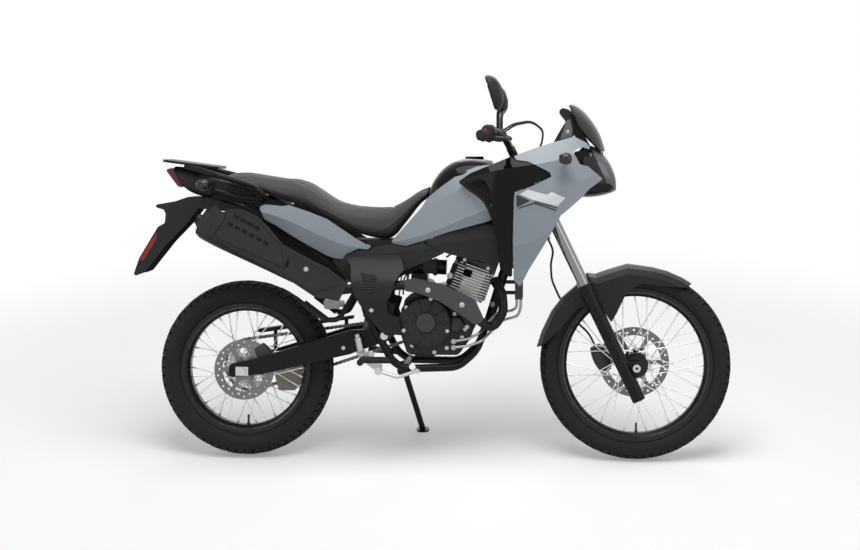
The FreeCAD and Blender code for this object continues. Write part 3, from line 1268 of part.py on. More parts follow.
# Painted panels and plastic covers
TANK_PANEL_shares = [
    (0.379, 0.612), (0.416, 0.657), (0.460, 0.712), (0.475, 0.738), (0.507, 0.767), (0.542, 0.795),
    (0.564, 0.810), (0.600, 0.826), (0.640, 0.832), (0.664, 0.805), (0.672, 0.702), (0.630, 0.675),
    (0.526, 0.643), (0.462, 0.618), (0.420, 0.603),
]
TANK_STATION_shares = (
    (0.365, ((0.66, 0.730), (0.78, 0.650), (0.80, 0.610), (0.77, 0.570))),
    (0.449, ((0.70, 0.790), (0.88, 0.690), (0.94, 0.630), (0.88, 0.590))),
    (0.534, ((0.62, 0.850), (0.96, 0.750), (1.08, 0.665), (1.00, 0.620))),
    (0.618, ((0.60, 0.865), (1.02, 0.780), (1.16, 0.705), (1.08, 0.650))),
    (0.692, ((0.62, 0.875), (1.06, 0.810), (1.22, 0.735), (1.16, 0.680))),
)
VANE_shares = [
    (0.552, 0.783), (0.586, 0.808), (0.639, 0.832), (0.685, 0.853), (0.699, 0.841), (0.730, 0.836),
    (0.779, 0.810), (0.784, 0.801), (0.744, 0.779), (0.702, 0.760), (0.692, 0.750), (0.688, 0.618),
    (0.690, 0.516), (0.659, 0.546), (0.650, 0.629), (0.640, 0.674), (0.629, 0.706), (0.614, 0.734), (0.586, 0.754),
]
VANE_WINDOW_shares = [
    (0.566, 0.780), (0.574, 0.791), (0.604, 0.795), (0.621, 0.786), (0.634, 0.761), (0.639, 0.720),
    (0.631, 0.712), (0.619, 0.736), (0.590, 0.760),
]
WING_shares = [
    (0.694, 0.749), (0.702, 0.757), (0.744, 0.775), (0.787, 0.798), (0.782, 0.812), (0.730, 0.839),
    (0.700, 0.844), (0.692, 0.854), (0.744, 0.876), (0.799, 0.895), (0.844, 0.909), (0.876, 0.891),
    (0.886, 0.872), (0.862, 0.880), (0.841, 0.866), (0.848, 0.853), (0.858, 0.832), (0.879, 0.826),
    (0.916, 0.791), (0.882, 0.764), (0.862, 0.740), (0.827, 0.707), (0.810, 0.692), (0.779, 0.630),
    (0.730, 0.542), (0.709, 0.496), (0.693, 0.515), (0.691, 0.619),
]
SHROUD_STATION_shares = (
    (0.535, ((0.55, 0.855), (0.72, 0.790), (0.80, 0.700), (0.82, 0.600), (0.80, 0.470))),
    (0.632, ((0.60, 0.870), (0.84, 0.810), (0.93, 0.705), (0.95, 0.600), (0.90, 0.470))),
    (0.702, ((0.62, 0.885), (0.87, 0.825), (0.97, 0.720), (1.00, 0.610), (0.94, 0.470))),
    (0.787, ((0.52, 0.915), (0.80, 0.840), (0.93, 0.745), (0.96, 0.650), (0.90, 0.470))),
    (0.857, ((0.40, 0.930), (0.64, 0.862), (0.74, 0.785), (0.77, 0.700), (0.72, 0.480))),
    (0.930, ((0.20, 0.925), (0.38, 0.855), (0.46, 0.785), (0.48, 0.700), (0.44, 0.480))),
)
FRAME_COVER_shares = [
    (0.231, 0.567), (0.255, 0.562), (0.272, 0.578), (0.304, 0.593), (0.325, 0.589), (0.343, 0.602),
    (0.382, 0.609), (0.421, 0.600), (0.463, 0.615), (0.527, 0.590), (0.474, 0.562), (0.439, 0.547),
    (0.410, 0.531), (0.393, 0.512), (0.383, 0.491), (0.373, 0.449), (0.396, 0.444), (0.386, 0.410),
    (0.398, 0.364), (0.390, 0.353), (0.369, 0.357), (0.360, 0.367), (0.338, 0.410), (0.312, 0.463), (0.279, 0.505),
]
COVER_STATION_shares = (
    (0.220, ((0.84, 0.640), (0.92, 0.560), (0.94, 0.480), (0.90, 0.330))),
    (0.300, ((0.90, 0.650), (0.99, 0.570), (1.01, 0.480), (1.01, 0.330))),
    (0.420, ((0.90, 0.655), (1.00, 0.590), (1.01, 0.480), (1.01, 0.330))),
    (0.540, ((0.96, 0.660), (1.04, 0.600), (1.03, 0.480), (1.00, 0.330))),
)
VENT_shares = ((0.318, 0.520), (0.345, 0.500), (0.330, 0.440))
KNEE_shares = [
    (0.466, 0.619), (0.526, 0.639), (0.579, 0.658), (0.630, 0.666), (0.644, 0.660), (0.656, 0.585),
    (0.656, 0.554), (0.579, 0.571), (0.532, 0.582), (0.505, 0.592),
]
COVER_BOSS_share = (0.307, 0.500)
COVER_BOSS_RADIUS = 8.0
TAIL_BOSS_share = (0.140, 0.665)
VANE_BOSS_share = (0.652, 0.800)
PANEL_BOSS_share = (0.560, 0.740)
KNEE_STATION_shares = (
    (0.450, ((0.93, 0.660), (1.03, 0.600), (1.02, 0.530))),
    (0.560, ((0.94, 0.690), (1.04, 0.620), (1.00, 0.530))),
    (0.668, ((0.98, 0.710), (1.08, 0.630), (1.04, 0.530))),
)
TAIL_PANEL_shares = [
    (0.047, 0.712), (0.062, 0.719), (0.106, 0.714), (0.123, 0.717), (0.172, 0.699), (0.221, 0.677),
    (0.293, 0.623), (0.318, 0.608), (0.334, 0.604), (0.322, 0.592), (0.301, 0.596),
    (0.268, 0.580), (0.259, 0.566), (0.250, 0.566), (0.221, 0.575), (0.150, 0.619), (0.091, 0.660), (0.062, 0.677),
]
TAIL_STATION_shares = (
    (0.030, ((0.98, 0.735), (1.08, 0.700), (1.04, 0.655))),
    (0.126, ((0.98, 0.735), (1.12, 0.672), (1.06, 0.610))),
    (0.225, ((0.92, 0.700), (1.05, 0.622), (0.97, 0.555))),
    (0.345, ((0.84, 0.640), (0.92, 0.596), (0.86, 0.555))),
)
PANEL_BEND = 8.0


def outermost(shape):
    """The solid that lies farthest to the left."""
    return max(shape.Solids, key=lambda solid: solid.BoundBox.YMax)


def innermost(shape):
    """The solid that lies nearest the middle of the machine, on the left half."""
    return min(shape.Solids, key=lambda solid: solid.BoundBox.YMax)


def tank_panel():
    side = panel(TANK_STATION_shares, TANK_HALF, TANK_PANEL_shares, PANEL_BEND)
    return biggest(side.cut(fork_room()).cut(tank_body(SEAT_GAP)))


def tank_panels():
    """The painted sides of the tank, each with a boss that stands on the tank itself."""
    side = tank_panel()
    boss = rod(spot(PANEL_BOSS_share, TANK_HALF / 2), spot(PANEL_BOSS_share, 2 * SHROUD_HALF), COVER_BOSS_RADIUS)
    boss = outermost(boss.cut(tank_body(SEAT_GAP)))
    boss = boss.cut(outermost(boss.cut(side)))
    sides = pair(side.fuse(boss)).cut(tank_body(SEAT_GAP))
    return group([biggest(group([s for s in sides.Solids if s.CenterOfMass.y * way > 0])) for way in (1, -1)])


def shroud_vanes():
    vane = panel(SHROUD_STATION_shares, SHROUD_HALF, VANE_shares, PANEL_BEND)
    vane = vane.cut(prism(VANE_WINDOW_shares, 0, 2 * SHROUD_HALF, PANEL_BEND))
    boss = rod(spot(VANE_BOSS_share, TANK_HALF / 2), spot(VANE_BOSS_share, 2 * SHROUD_HALF), COVER_BOSS_RADIUS)
    boss = outermost(boss.cut(tank_panel().translated(vec(0, SEAT_GAP, 0))))
    boss = boss.cut(outermost(boss.cut(vane)))
    return pair(vane.fuse(boss))


def shroud_wing():
    return panel(SHROUD_STATION_shares, SHROUD_HALF, WING_shares, PANEL_BEND / 2)


def shroud_wings():
    wing = shroud_wing()
    signal = rod(spot(FRONT_SIGNAL_share), spot(FRONT_SIGNAL_share, 2 * SHROUD_HALF), SIGNAL_STALK + SEAT_GAP)
    return pair(wing.cut(signal))


def frame_covers():
    cover = panel(COVER_STATION_shares, TANK_HALF, FRAME_COVER_shares, PANEL_BEND)
    cover = cover.cut(prism(VENT_shares, 0, 2 * SHROUD_HALF, PANEL_BEND))
    knee = panel(KNEE_STATION_shares, TANK_HALF, KNEE_shares, PANEL_BEND)
    rail_face = RAIL_REAR_HALF + RAIL_RADIUS + SEAT_GAP
    boss = rod(spot(COVER_BOSS_share, rail_face), spot(COVER_BOSS_share, TANK_HALF), COVER_BOSS_RADIUS)
    return pair(fuse([cover, knee, boss]))


def tail_panels():
    """The painted sides under the seat, each with a boss on the seat rail."""
    side = panel(TAIL_STATION_shares, SEAT_HALF, TAIL_PANEL_shares, PANEL_BEND)
    rail_face = SUBFRAME_HALF + SUBFRAME_RADIUS + SEAT_GAP
    boss = rod(spot(TAIL_BOSS_share, rail_face), spot(TAIL_BOSS_share, 2 * SHROUD_HALF), COVER_BOSS_RADIUS)
    boss = boss.cut(outermost(boss.cut(side)))
    return pair(side.fuse(boss))


# Seat: two levels, wide behind and narrow against the tank
SEAT_shares = (
    (-0.044, 0.804, 0.796, 0.70), (-0.030, 0.806, 0.785, 0.86), (0.000, 0.803, 0.770, 0.92), (0.045, 0.795, 0.748, 0.94),
    (0.105, 0.785, 0.724, 0.96), (0.150, 0.782, 0.710, 0.96), (0.170, 0.771, 0.702, 0.94), (0.204, 0.745, 0.682, 0.92),
    (0.238, 0.722, 0.662, 0.88), (0.277, 0.710, 0.640, 0.84), (0.330, 0.704, 0.622, 0.78), (0.380, 0.706, 0.622, 0.74),
    (0.417, 0.725, 0.668, 0.70), (0.450, 0.751, 0.714, 0.66), (0.480, 0.772, 0.745, 0.60),
)


def seat():
    wires = []
    for x, top, bottom, size in smooth(SEAT_shares, 24):
        centre = spot((x, (top + bottom) / 2))
        half_height = (top - bottom) / 2 * SCREEN_TOP
        wires.append(rounded_section(centre, Y_AXIS, Z_AXIS, size * SEAT_HALF, half_height, 3.4, 16))
    return biggest(loft(wires).cut(tank_body(2 * SEAT_GAP).translated(vec(-SEAT_GAP, 0, 0))))


# Tail: luggage rack with grab rails, cowl, lamp, mudguard and indicators
RACK_shares = ((-0.212, 0.838), (-0.066, 0.817))
RACK_HALF = 96.0
RACK_THICK = 9.0
RACK_BEND = 30.0
RACK_HOLE_RADIUS = 4.5
RACK_HOLE_CIRCLE = 62.0
RACK_HOLES = 4
GRAB_shares = ((-0.150, 0.826, 0.62), (-0.060, 0.800, 1.06), (0.030, 0.772, 1.12), (0.076, 0.728, 1.02))
GRAB_RADIUS = 11.0


def rack_lines():
    """The rack plate's rear and front edges, its way forward and its normal."""
    rear = spot(RACK_shares[0])
    front = spot(RACK_shares[1])
    way = unit(front.sub(rear))
    return rear, front, way, vec(-way.z, 0, way.x)


def luggage_rack():
    """A drilled plate over the tail with a grab rail curling down each side to the seat rails."""
    rear, front, way, up = rack_lines()
    corners = [rear.add(vec(0, RACK_HALF, 0)), front.add(vec(0, RACK_HALF, 0))]
    corners += [front.sub(vec(0, RACK_HALF, 0)), rear.sub(vec(0, RACK_HALF, 0))]
    plate = Part.Face(rounded_loop(corners, RACK_BEND)).extrude(times(up, RACK_THICK))
    middle = times(rear.add(front), 0.5)
    for i in range(RACK_HOLES):
        turn = 2 * math.pi * (i + 0.5) / RACK_HOLES
        place = middle.add(times(way, RACK_HOLE_CIRCLE * math.cos(turn)))
        place = place.add(vec(0, RACK_HOLE_CIRCLE * math.sin(turn), 0)).sub(times(up, OVERRUN))
        plate = plate.cut(rod(place, place.add(times(up, 3 * OVERRUN)), RACK_HOLE_RADIUS))
    rails = []
    for side in (1, -1):
        points = [spot((x, z), side * size * SEAT_HALF) for x, z, size in GRAB_shares]
        points.append(spot(UPPER_RAIL_shares[2], side * (SUBFRAME_HALF + SUBFRAME_RADIUS)))
        rails.append(tube(points, GRAB_RADIUS, 2 * RACK_BEND))
    return plate.multiFuse(rails).cut(subframe_space())


TAIL_COWL_shares = (
    (-0.186, 0.824, 0.810, 0.36), (-0.168, 0.822, 0.772, 0.44), (-0.130, 0.816, 0.744, 0.56),
    (-0.083, 0.808, 0.736, 0.70),
)
LAMP_shares = ((-0.208, 0.815), (-0.190, 0.821), (-0.176, 0.790), (-0.160, 0.762), (-0.176, 0.768))
LAMP_HALF = 50.0


def tail_body(grow):
    wires = []
    for x, top, bottom, size in TAIL_COWL_shares:
        centre = spot((x, (top + bottom) / 2))
        half_height = (top - bottom) / 2 * SCREEN_TOP
        wires.append(rounded_section(centre, Y_AXIS, Z_AXIS, size * SEAT_HALF + grow, half_height + grow, 3.4, 12))
    return loft(wires)


def tail_cowl():
    """The cover under the rack, closing the tail above the wheel."""
    return tail_body(0.0)


def tail_lamp():
    return prism(LAMP_shares, -LAMP_HALF, LAMP_HALF, CLEARANCE).cut(tail_body(SEAT_GAP))


REAR_FENDER_shares = [
    (-0.229, 0.716), (-0.229, 0.708), (-0.209, 0.702), (-0.204, 0.690), (-0.206, 0.664), (-0.224, 0.653),
    (-0.273, 0.564), (-0.290, 0.510), (-0.261, 0.522), (-0.200, 0.606), (-0.148, 0.665), (-0.120, 0.706),
    (-0.100, 0.738), (-0.146, 0.738), (-0.178, 0.726),
]
FENDER_TRAY_shares = [
    (-0.120, 0.706), (-0.100, 0.738), (0.020, 0.702), (0.140, 0.622), (0.230, 0.532), (0.224, 0.528),
    (0.135, 0.612), (0.015, 0.690),
]
REAR_FENDER_HALF = 74.0


def rear_fender():
    """A drooping tail that carries the plate, and the inner mudguard ahead of it over the tyre."""
    tail = prism(REAR_FENDER_shares, -REAR_FENDER_HALF, REAR_FENDER_HALF, PANEL_BEND)
    inside = prism(REAR_FENDER_shares, -REAR_FENDER_HALF + FENDER_WALL, REAR_FENDER_HALF - FENDER_WALL, 0.0)
    tail = tail.cut(inside.translated(vec(2 * FENDER_WALL, 0, -2 * FENDER_WALL)))
    tray = prism(FENDER_TRAY_shares, -REAR_FENDER_HALF, REAR_FENDER_HALF, 0.0)
    return biggest(tail.fuse(tray).cut(tail_body(SEAT_GAP)))


FRONT_SIGNAL_share = (0.821, 0.848)
REAR_SIGNAL_share = (-0.093, 0.774)
FRONT_SIGNAL_Y = 222.0
REAR_SIGNAL_Y = 172.0
SIGNAL_RADIUS = 19.0
SIGNAL_LENGTH = 44.0
SIGNAL_STALK = 7.0


def indicators():
    lamps = []
    for share, y, inner in (
        (FRONT_SIGNAL_share, FRONT_SIGNAL_Y, FRONT_SIGNAL_Y - 2 * SIGNAL_LENGTH),
        (REAR_SIGNAL_share, REAR_SIGNAL_Y, SUBFRAME_HALF / 2),
    ):
        centre = spot(share, y)
        wires = []
        for place, size in ((-0.5, 0.7), (-0.3, 0.95), (0.3, 1.0), (0.5, 0.7)):
            radius = size * SIGNAL_RADIUS
            at = centre.add(vec(place * SIGNAL_LENGTH, 0, 0))
            wires.append(rounded_section(at, Y_AXIS, Z_AXIS, 1.3 * radius, radius, 2.6, 10))
        stalk = rod(spot(share, inner), centre, SIGNAL_STALK).cut(tail_body(2 * SEAT_GAP))
        lamps.append(pair(loft(wires).fuse(stalk)))
    return group(lamps)


# Fairing: a stay on the steering head that carries the lamp, the screen and the instruments
STAY_HALF = 12.0
LAMP_BODY_shares = (
    (0.858, 0.872, 0.740, 0.40), (0.885, 0.884, 0.738, 0.42), (0.912, 0.868, 0.742, 0.38), (0.938, 0.830, 0.750, 0.30),
    (0.951, 0.790, 0.757, 0.18),
)
STAY_CROSS_share = (0.834, 0.843)
STAY_CROSS_RADIUS = 9.0
STAY_POST_share = (0.836, 0.925)
STAY_POST_Y = 40.0
STAY_POST_RADIUS = 6.0
SCREEN_LUG_share = (0.914, 0.845)
SCREEN_LUG_Y = 58.0


def fairing_stay():
    """A bracket from the steering head forward between the fork tubes to the lamp, with a cross bar out to
    the shrouds and two posts up to the instruments."""
    head_middle = (LOWER_CLAMP_AT + UPPER_CLAMP_TOP) / 2
    start = fork_point(head_middle, -CLAMP_OFFSET + STEM_RADIUS + HEAD_WALL / 2)
    cross = spot(STAY_CROSS_share)
    lamp_back = vec(LAMP_BODY_shares[0][0] * WHEELBASE - SEAT_GAP, 0, cross.z)
    parts = [rod(start, cross, STAY_HALF), rod(cross.sub(vec(STAY_HALF, 0, 0)), lamp_back, STAY_HALF)]
    arm = rod(cross, cross.add(vec(0, SHROUD_HALF, 0)), STAY_CROSS_RADIUS)
    arm = innermost(arm.cut(shroud_wing().translated(vec(0, -SEAT_GAP, 0))))
    post = rod(cross.add(vec(0, STAY_POST_Y, 0)), spot(STAY_POST_share, STAY_POST_Y), STAY_POST_RADIUS)
    post = post.cut(instrument_panel().translated(vec(0, 0, -SEAT_GAP)))
    for part in (arm, post):
        parts += [part, part.mirror(ORIGIN, Y_AXIS)]
    head = rod(
        fork_point(LOWER_CLAMP_TOP, -CLAMP_OFFSET), fork_point(UPPER_CLAMP_AT, -CLAMP_OFFSET),
        STEM_RADIUS + HEAD_WALL + SEAT_GAP,
    )
    return fuse(parts).cut(head)


def headlamp():
    wires = []
    for x, top, bottom, size in LAMP_BODY_shares:
        centre = spot((x, (top + bottom) / 2))
        half_height = (top - bottom) / 2 * SCREEN_TOP
        wires.append(rounded_section(centre, Y_AXIS, Z_AXIS, size * SHROUD_HALF, half_height, 3.0, 14))
    parts = [loft(wires)]
    for y in (SCREEN_LUG_Y, -SCREEN_LUG_Y):
        low = spot(SCREEN_LUG_share, y)
        parts.append(rod(low, vec(low.x, y, SCREEN_shares[0][3] * SCREEN_TOP - SCREEN_WALL / 4), STAY_POST_RADIUS))
    return fuse(parts)


SCREEN_shares = (
    (0.925, 0.868, 0.912, 0.866, 0.30), (0.915, 0.905, 0.885, 0.900, 0.46), (0.893, 0.950, 0.855, 0.944, 0.54),
    (0.866, 0.985, 0.842, 0.978, 0.48), (0.842, 1.005, 0.834, 0.998, 0.34),
)
SCREEN_WALL = 3.0


def windscreen():
    """A bowed screen: each level is an arc from one edge through the middle to the other."""
    wires = []
    for middle_x, middle_z, edge_x, edge_z, size in SCREEN_shares:
        edge = spot((edge_x, edge_z), size * SHROUD_HALF)
        middle = spot((middle_x, middle_z))
        inward = times(unit(vec(edge.x - middle.x, 0, edge.z - middle.z)), SCREEN_WALL)
        inner_edge = edge.add(inward).sub(vec(0, SCREEN_WALL / 2, 0))
        inner_middle = middle.add(inward)
        far = vec(edge.x, -edge.y, edge.z)
        inner_far = vec(inner_edge.x, -inner_edge.y, inner_edge.z)
        wires.append(Part.Wire([
            Part.Arc(edge, middle, far).toShape(),
            Part.LineSegment(far, inner_far).toShape(),
            Part.Arc(inner_far, inner_middle, inner_edge).toShape(),
            Part.LineSegment(inner_edge, edge).toShape(),
        ]))
    return loft(wires)


INSTRUMENT_shares = [
    (0.808, 0.984), (0.816, 0.989), (0.832, 0.984), (0.838, 0.966), (0.846, 0.916), (0.840, 0.905),
    (0.810, 0.896), (0.791, 0.889), (0.805, 0.918), (0.824, 0.952), (0.808, 0.975),
]
INSTRUMENT_HALF = 72.0


def instrument_panel():
    return prism(INSTRUMENT_shares, -INSTRUMENT_HALF, INSTRUMENT_HALF, PANEL_BEND / 2)


# Pegs, pedals, stand, chain and the rear brake
BRAKE_PEDAL_shares = ((0.352, 0.257), (0.400, 0.240), (0.452, 0.260))
GEAR_LEVER_shares = ((0.445, 0.312), (0.480, 0.288), (0.505, 0.290))
PEDAL_Y = 150.0
PEDAL_RADIUS = 7.0
PEDAL_LUG_Y = 131.0
PEDAL_PAD = 11.0
TOE_LENGTH = 34.0
PEG_share = (0.312, 0.288)
PEG_INNER = 146.0
PEG_LENGTH = 88.0
PEG_RADIUS = 12.0
PILLION_shares = ((0.163, 0.445), (0.220, 0.398))
PILLION_OUT = 150.0


def foot_pegs():
    peg = rod(spot(PEG_share, PEG_INNER), spot(PEG_share, PEG_INNER + PEG_LENGTH), PEG_RADIUS)
    arm = rod(spot(PEG_share, PEG_INNER + PEG_RADIUS), spot(RAIL_REAR_shares[1], RAIL_REAR_HALF), PEG_RADIUS)
    rail = [spot(s, RAIL_REAR_HALF) for s in RAIL_REAR_shares]
    rider = peg.fuse(arm).cut(tube(rail, RAIL_RADIUS + SEAT_GAP, FRAME_BEND))
    pivot = spot(BRAKE_PEDAL_shares[0], -PEDAL_LUG_Y)
    lug_top = spot((BRAKE_PEDAL_shares[0][0], PEG_share[1]), -PEDAL_LUG_Y)
    lug = rod(pivot.sub(vec(0, 0, 2 * PEDAL_RADIUS)), lug_top, PEDAL_RADIUS)
    right = rider.mirror(ORIGIN, Y_AXIS).fuse(lug)
    top, foot = [spot(s, PILLION_OUT) for s in PILLION_shares]
    pillion = rod(top, foot, PEG_RADIUS)
    root = spot(STRUT_shares[0], SUBFRAME_HALF)
    hanger = tube([foot, foot.add(vec(PEG_LENGTH / 2, 0, 0)), root], 0.8 * PEG_RADIUS, FRAME_BEND / 2)
    strut = tube([spot(s, SUBFRAME_HALF) for s in STRUT_shares], SUBFRAME_RADIUS + SEAT_GAP, FRAME_BEND)
    return group([rider, right, pair(pillion.fuse(hanger).cut(strut))])




def foot_levers():
    """The brake pedal on the right and the gear lever on the left, each with a toe piece."""
    brake = [spot(s, -PEDAL_Y) for s in BRAKE_PEDAL_shares]
    gear = [spot(s, PEDAL_Y) for s in GEAR_LEVER_shares]
    toe = vec(0, TOE_LENGTH, 0)
    shapes = []
    boss_start = vec(brake[0].x, -PEDAL_LUG_Y - PEDAL_RADIUS - SEAT_GAP, brake[0].z)
    pad = vec(0, PEDAL_PAD, 0)
    boss = rod(boss_start, brake[0].sub(pad), 2 * PEDAL_RADIUS)
    brake_toe = rod(brake[2].sub(toe), brake[2].add(pad), 1.3 * PEDAL_RADIUS)
    shapes.append(fuse([tube(brake, PEDAL_RADIUS, TOE_LENGTH), brake_toe, boss]))
    shaft_start = vec(gear[0].x, CASE_HALF + SEAT_GAP, gear[0].z)
    shaft = rod(shaft_start, gear[0].add(pad), 1.4 * PEDAL_RADIUS)
    gear_toe = rod(gear[2].sub(pad), gear[2].add(toe), 1.3 * PEDAL_RADIUS)
    shapes.append(fuse([tube(gear, PEDAL_RADIUS, TOE_LENGTH), gear_toe, shaft]))
    return group(shapes)


STAND_PIVOT_share = (0.400, 0.236)
STAND_PIVOT_Y = 128.0
STAND_FOOT_Y = 262.0
STAND_FOOT_AHEAD = 62.0
STAND_RADIUS = 11.0
STAND_FOLD_share = (-1.0, 0.06, -0.05)
STAND_FOOT_RADIUS = 24.0
STAND_FOOT_THICK = 7.0
STAND_PIN_RADIUS = 5.0
STAND_EAR_RADIUS = 24.0
STAND_EAR_THICK = 6.0


def crown_drop(width):
    """How far a tyre's lowest point sinks when the machine leans about the middle of its tread."""
    return CROWN_RADIUS_share * width * (1 - math.cos(radians(LEAN)))


def nose_down():
    """The small pitch that keeps the narrower front tyre on the floor too."""
    return math.atan2(crown_drop(REAR_TYRE_WIDTH) - crown_drop(FRONT_TYRE_WIDTH), WHEELBASE)


def ground_at(x, y):
    """The height of the floor in the upright frame, which lies aslant when the machine leans."""
    rise = x * math.tan(nose_down()) - crown_drop(REAR_TYRE_WIDTH)
    return (y * math.sin(radians(LEAN)) + rise) / math.cos(radians(LEAN))


def stand_points():
    pivot = spot(STAND_PIVOT_share, STAND_PIVOT_Y)
    foot_x = pivot.x + STAND_FOOT_AHEAD
    return pivot, vec(foot_x, STAND_FOOT_Y, ground_at(foot_x, STAND_FOOT_Y))


def side_stand():
    """A leg with an eye at its pivot and a round foot that lies flat on the floor."""
    pivot, foot = stand_points()
    floor = vec(0, -math.sin(radians(LEAN)), math.cos(radians(LEAN)))
    eye_axis = stand_hinge()[0]
    eye = rod(pivot.sub(times(eye_axis, STAND_RADIUS)), pivot.add(times(eye_axis, STAND_RADIUS)), 1.6 * STAND_RADIUS)
    pad = rod(foot, foot.add(times(floor, STAND_FOOT_THICK)), STAND_FOOT_RADIUS)
    leg = rod(pivot, foot.add(times(floor, STAND_FOOT_THICK / 2)), STAND_RADIUS)
    below = rod(foot.sub(times(floor, 2 * STAND_FOOT_RADIUS)), foot, 2 * STAND_FOOT_RADIUS)
    reach = times(eye_axis, 3 * STAND_RADIUS)
    pin = rod(pivot.sub(reach), pivot.add(reach), STAND_PIN_RADIUS + RUNNING_GAP)
    return fuse([eye, pad, leg]).cut(below).cut(pin)


def stand_hinge():
    """The hinge's axis and the angle from the stand's rest to where it is folded back."""
    pivot, foot = stand_points()
    down = unit(foot.sub(pivot))
    back = unit(vec(*STAND_FOLD_share))
    axis = unit(down.cross(back))
    return axis, math.degrees(down.getAngle(back))


def stand_bracket():
    """Two ears with a pin, welded to the left lower rail."""
    pivot = stand_points()[0]
    axis = stand_hinge()[0]
    shapes = []
    for side in (1, -1):
        face = pivot.add(times(axis, side * (STAND_RADIUS + SEAT_GAP)))
        shapes.append(rod(face, face.add(times(axis, side * STAND_EAR_THICK)), STAND_EAR_RADIUS))
    reach = STAND_RADIUS + 2 * STAND_EAR_THICK
    shapes.append(rod(pivot.sub(times(axis, reach)), pivot.add(times(axis, reach)), STAND_PIN_RADIUS))
    return shapes


def chain_loop(offset):
    """The chain's outline round both sprockets, moved out or in by an offset."""
    rear = vec(REAR_AXLE.x, 0, REAR_AXLE.z)
    front = spot(OUTPUT_share)
    rear_radius = pitch_radius(REAR_TEETH) + offset
    front_radius = pitch_radius(FRONT_TEETH) + offset
    way = front.sub(rear)
    slope = math.atan2(way.z, way.x)
    open_angle = math.acos((rear_radius - front_radius) / way.Length)

    def on(centre, radius, turn):
        return centre.add(vec(radius * math.cos(turn), 0, radius * math.sin(turn)))

    top_rear = on(rear, rear_radius, slope + open_angle)
    low_rear = on(rear, rear_radius, slope - open_angle)
    top_front = on(front, front_radius, slope + open_angle)
    low_front = on(front, front_radius, slope - open_angle)
    edges = [
        Part.LineSegment(top_rear, top_front).toShape(),
        Part.Arc(top_front, on(front, front_radius, slope), low_front).toShape(),
        Part.LineSegment(low_front, low_rear).toShape(),
        Part.Arc(low_rear, on(rear, rear_radius, slope + math.pi), top_rear).toShape(),
    ]
    return Part.Face(Part.Wire(edges))


OUTPUT_share = (0.436, 0.362)


def drive_chain():
    """The chain as a closed band, with the driving sprocket at its front end as a second solid."""
    band = chain_loop(CHAIN_HEIGHT / 2).cut(chain_loop(-CHAIN_HEIGHT / 2))
    band = band.extrude(vec(0, CHAIN_WIDTH, 0)).translated(vec(0, CHAIN_LINE - CHAIN_WIDTH / 2, 0))
    shaft_start = spot(OUTPUT_share, CASE_HALF + SEAT_GAP)
    shaft = rod(shaft_start, spot(OUTPUT_share, CHAIN_LINE + SPROCKET_THICK), AXLE_NUT_RADIUS)
    wheel = toothed_plate(FRONT_TEETH, spot(OUTPUT_share, CHAIN_LINE)).fuse(shaft)
    return group([band, wheel])


CHAIN_GUARD_shares = [
    (0.010, 0.345), (0.020, 0.352), (0.270, 0.392), (0.270, 0.384), (0.030, 0.342),
]
GUARD_LUG_shares = (((0.062, 0.275), (0.062, 0.351)), ((0.250, 0.340), (0.250, 0.384)))


def chain_guard():
    """A strip over the chain on two lugs that stand on the swingarm."""
    parts = [prism(CHAIN_GUARD_shares, CHAIN_LINE - CHAIN_WIDTH, ARM_INNER + ARM_WALL, 0.0)]
    arm = prism(SWINGARM_shares, ARM_INNER, ARM_INNER + ARM_WALL, ARM_BEND).translated(vec(0, 0, SEAT_GAP))
    for low, high in GUARD_LUG_shares:
        y = ARM_INNER + ARM_WALL / 2
        parts.append(rod(spot(low, y), spot(high, y), PEDAL_RADIUS).cut(arm))
    return fuse(parts)


CALIPER_LUG_share = (0.056, 0.268)
CALIPER_LUG_RADIUS = 9.0


def rear_caliper():
    """The rear brake caliper, ahead of and above the axle on the right, on a bracket round the axle."""
    turn = radians(35)
    reach = REAR_DISC_RADIUS - 0.3 * CALIPER_DEPTH
    centre = REAR_AXLE.add(vec(reach * math.cos(turn), -REAR_DISC_LINE, reach * math.sin(turn)))
    way = vec(-math.sin(turn), 0, math.cos(turn))
    out = vec(math.cos(turn), 0, math.sin(turn))
    wires = []
    for place, size in ((-0.5, 0.8), (-0.3, 1.0), (0.3, 1.0), (0.5, 0.8)):
        at = centre.add(times(way, place * 0.8 * CALIPER_LENGTH))
        wires.append(rounded_section(at, out, Y_AXIS, size * CALIPER_DEPTH / 2, 0.28 * size * CALIPER_WIDTH, 4, 12))
    gap = DISC_THICK
    slot = ring(
        REAR_AXLE.add(vec(0, -REAR_DISC_LINE - gap, 0)), REAR_AXLE.add(vec(0, -REAR_DISC_LINE + gap, 0)),
        REAR_DISC_RADIUS + gap, HUB_FLANGE,
    )
    lug_start = spot(CALIPER_LUG_share, -REAR_DISC_LINE - 1.5 * gap)
    lug = rod(lug_start, vec(lug_start.x, -ARM_INNER + SEAT_GAP, lug_start.z), CALIPER_LUG_RADIUS)
    return loft(wires).cut(slot).fuse(lug)


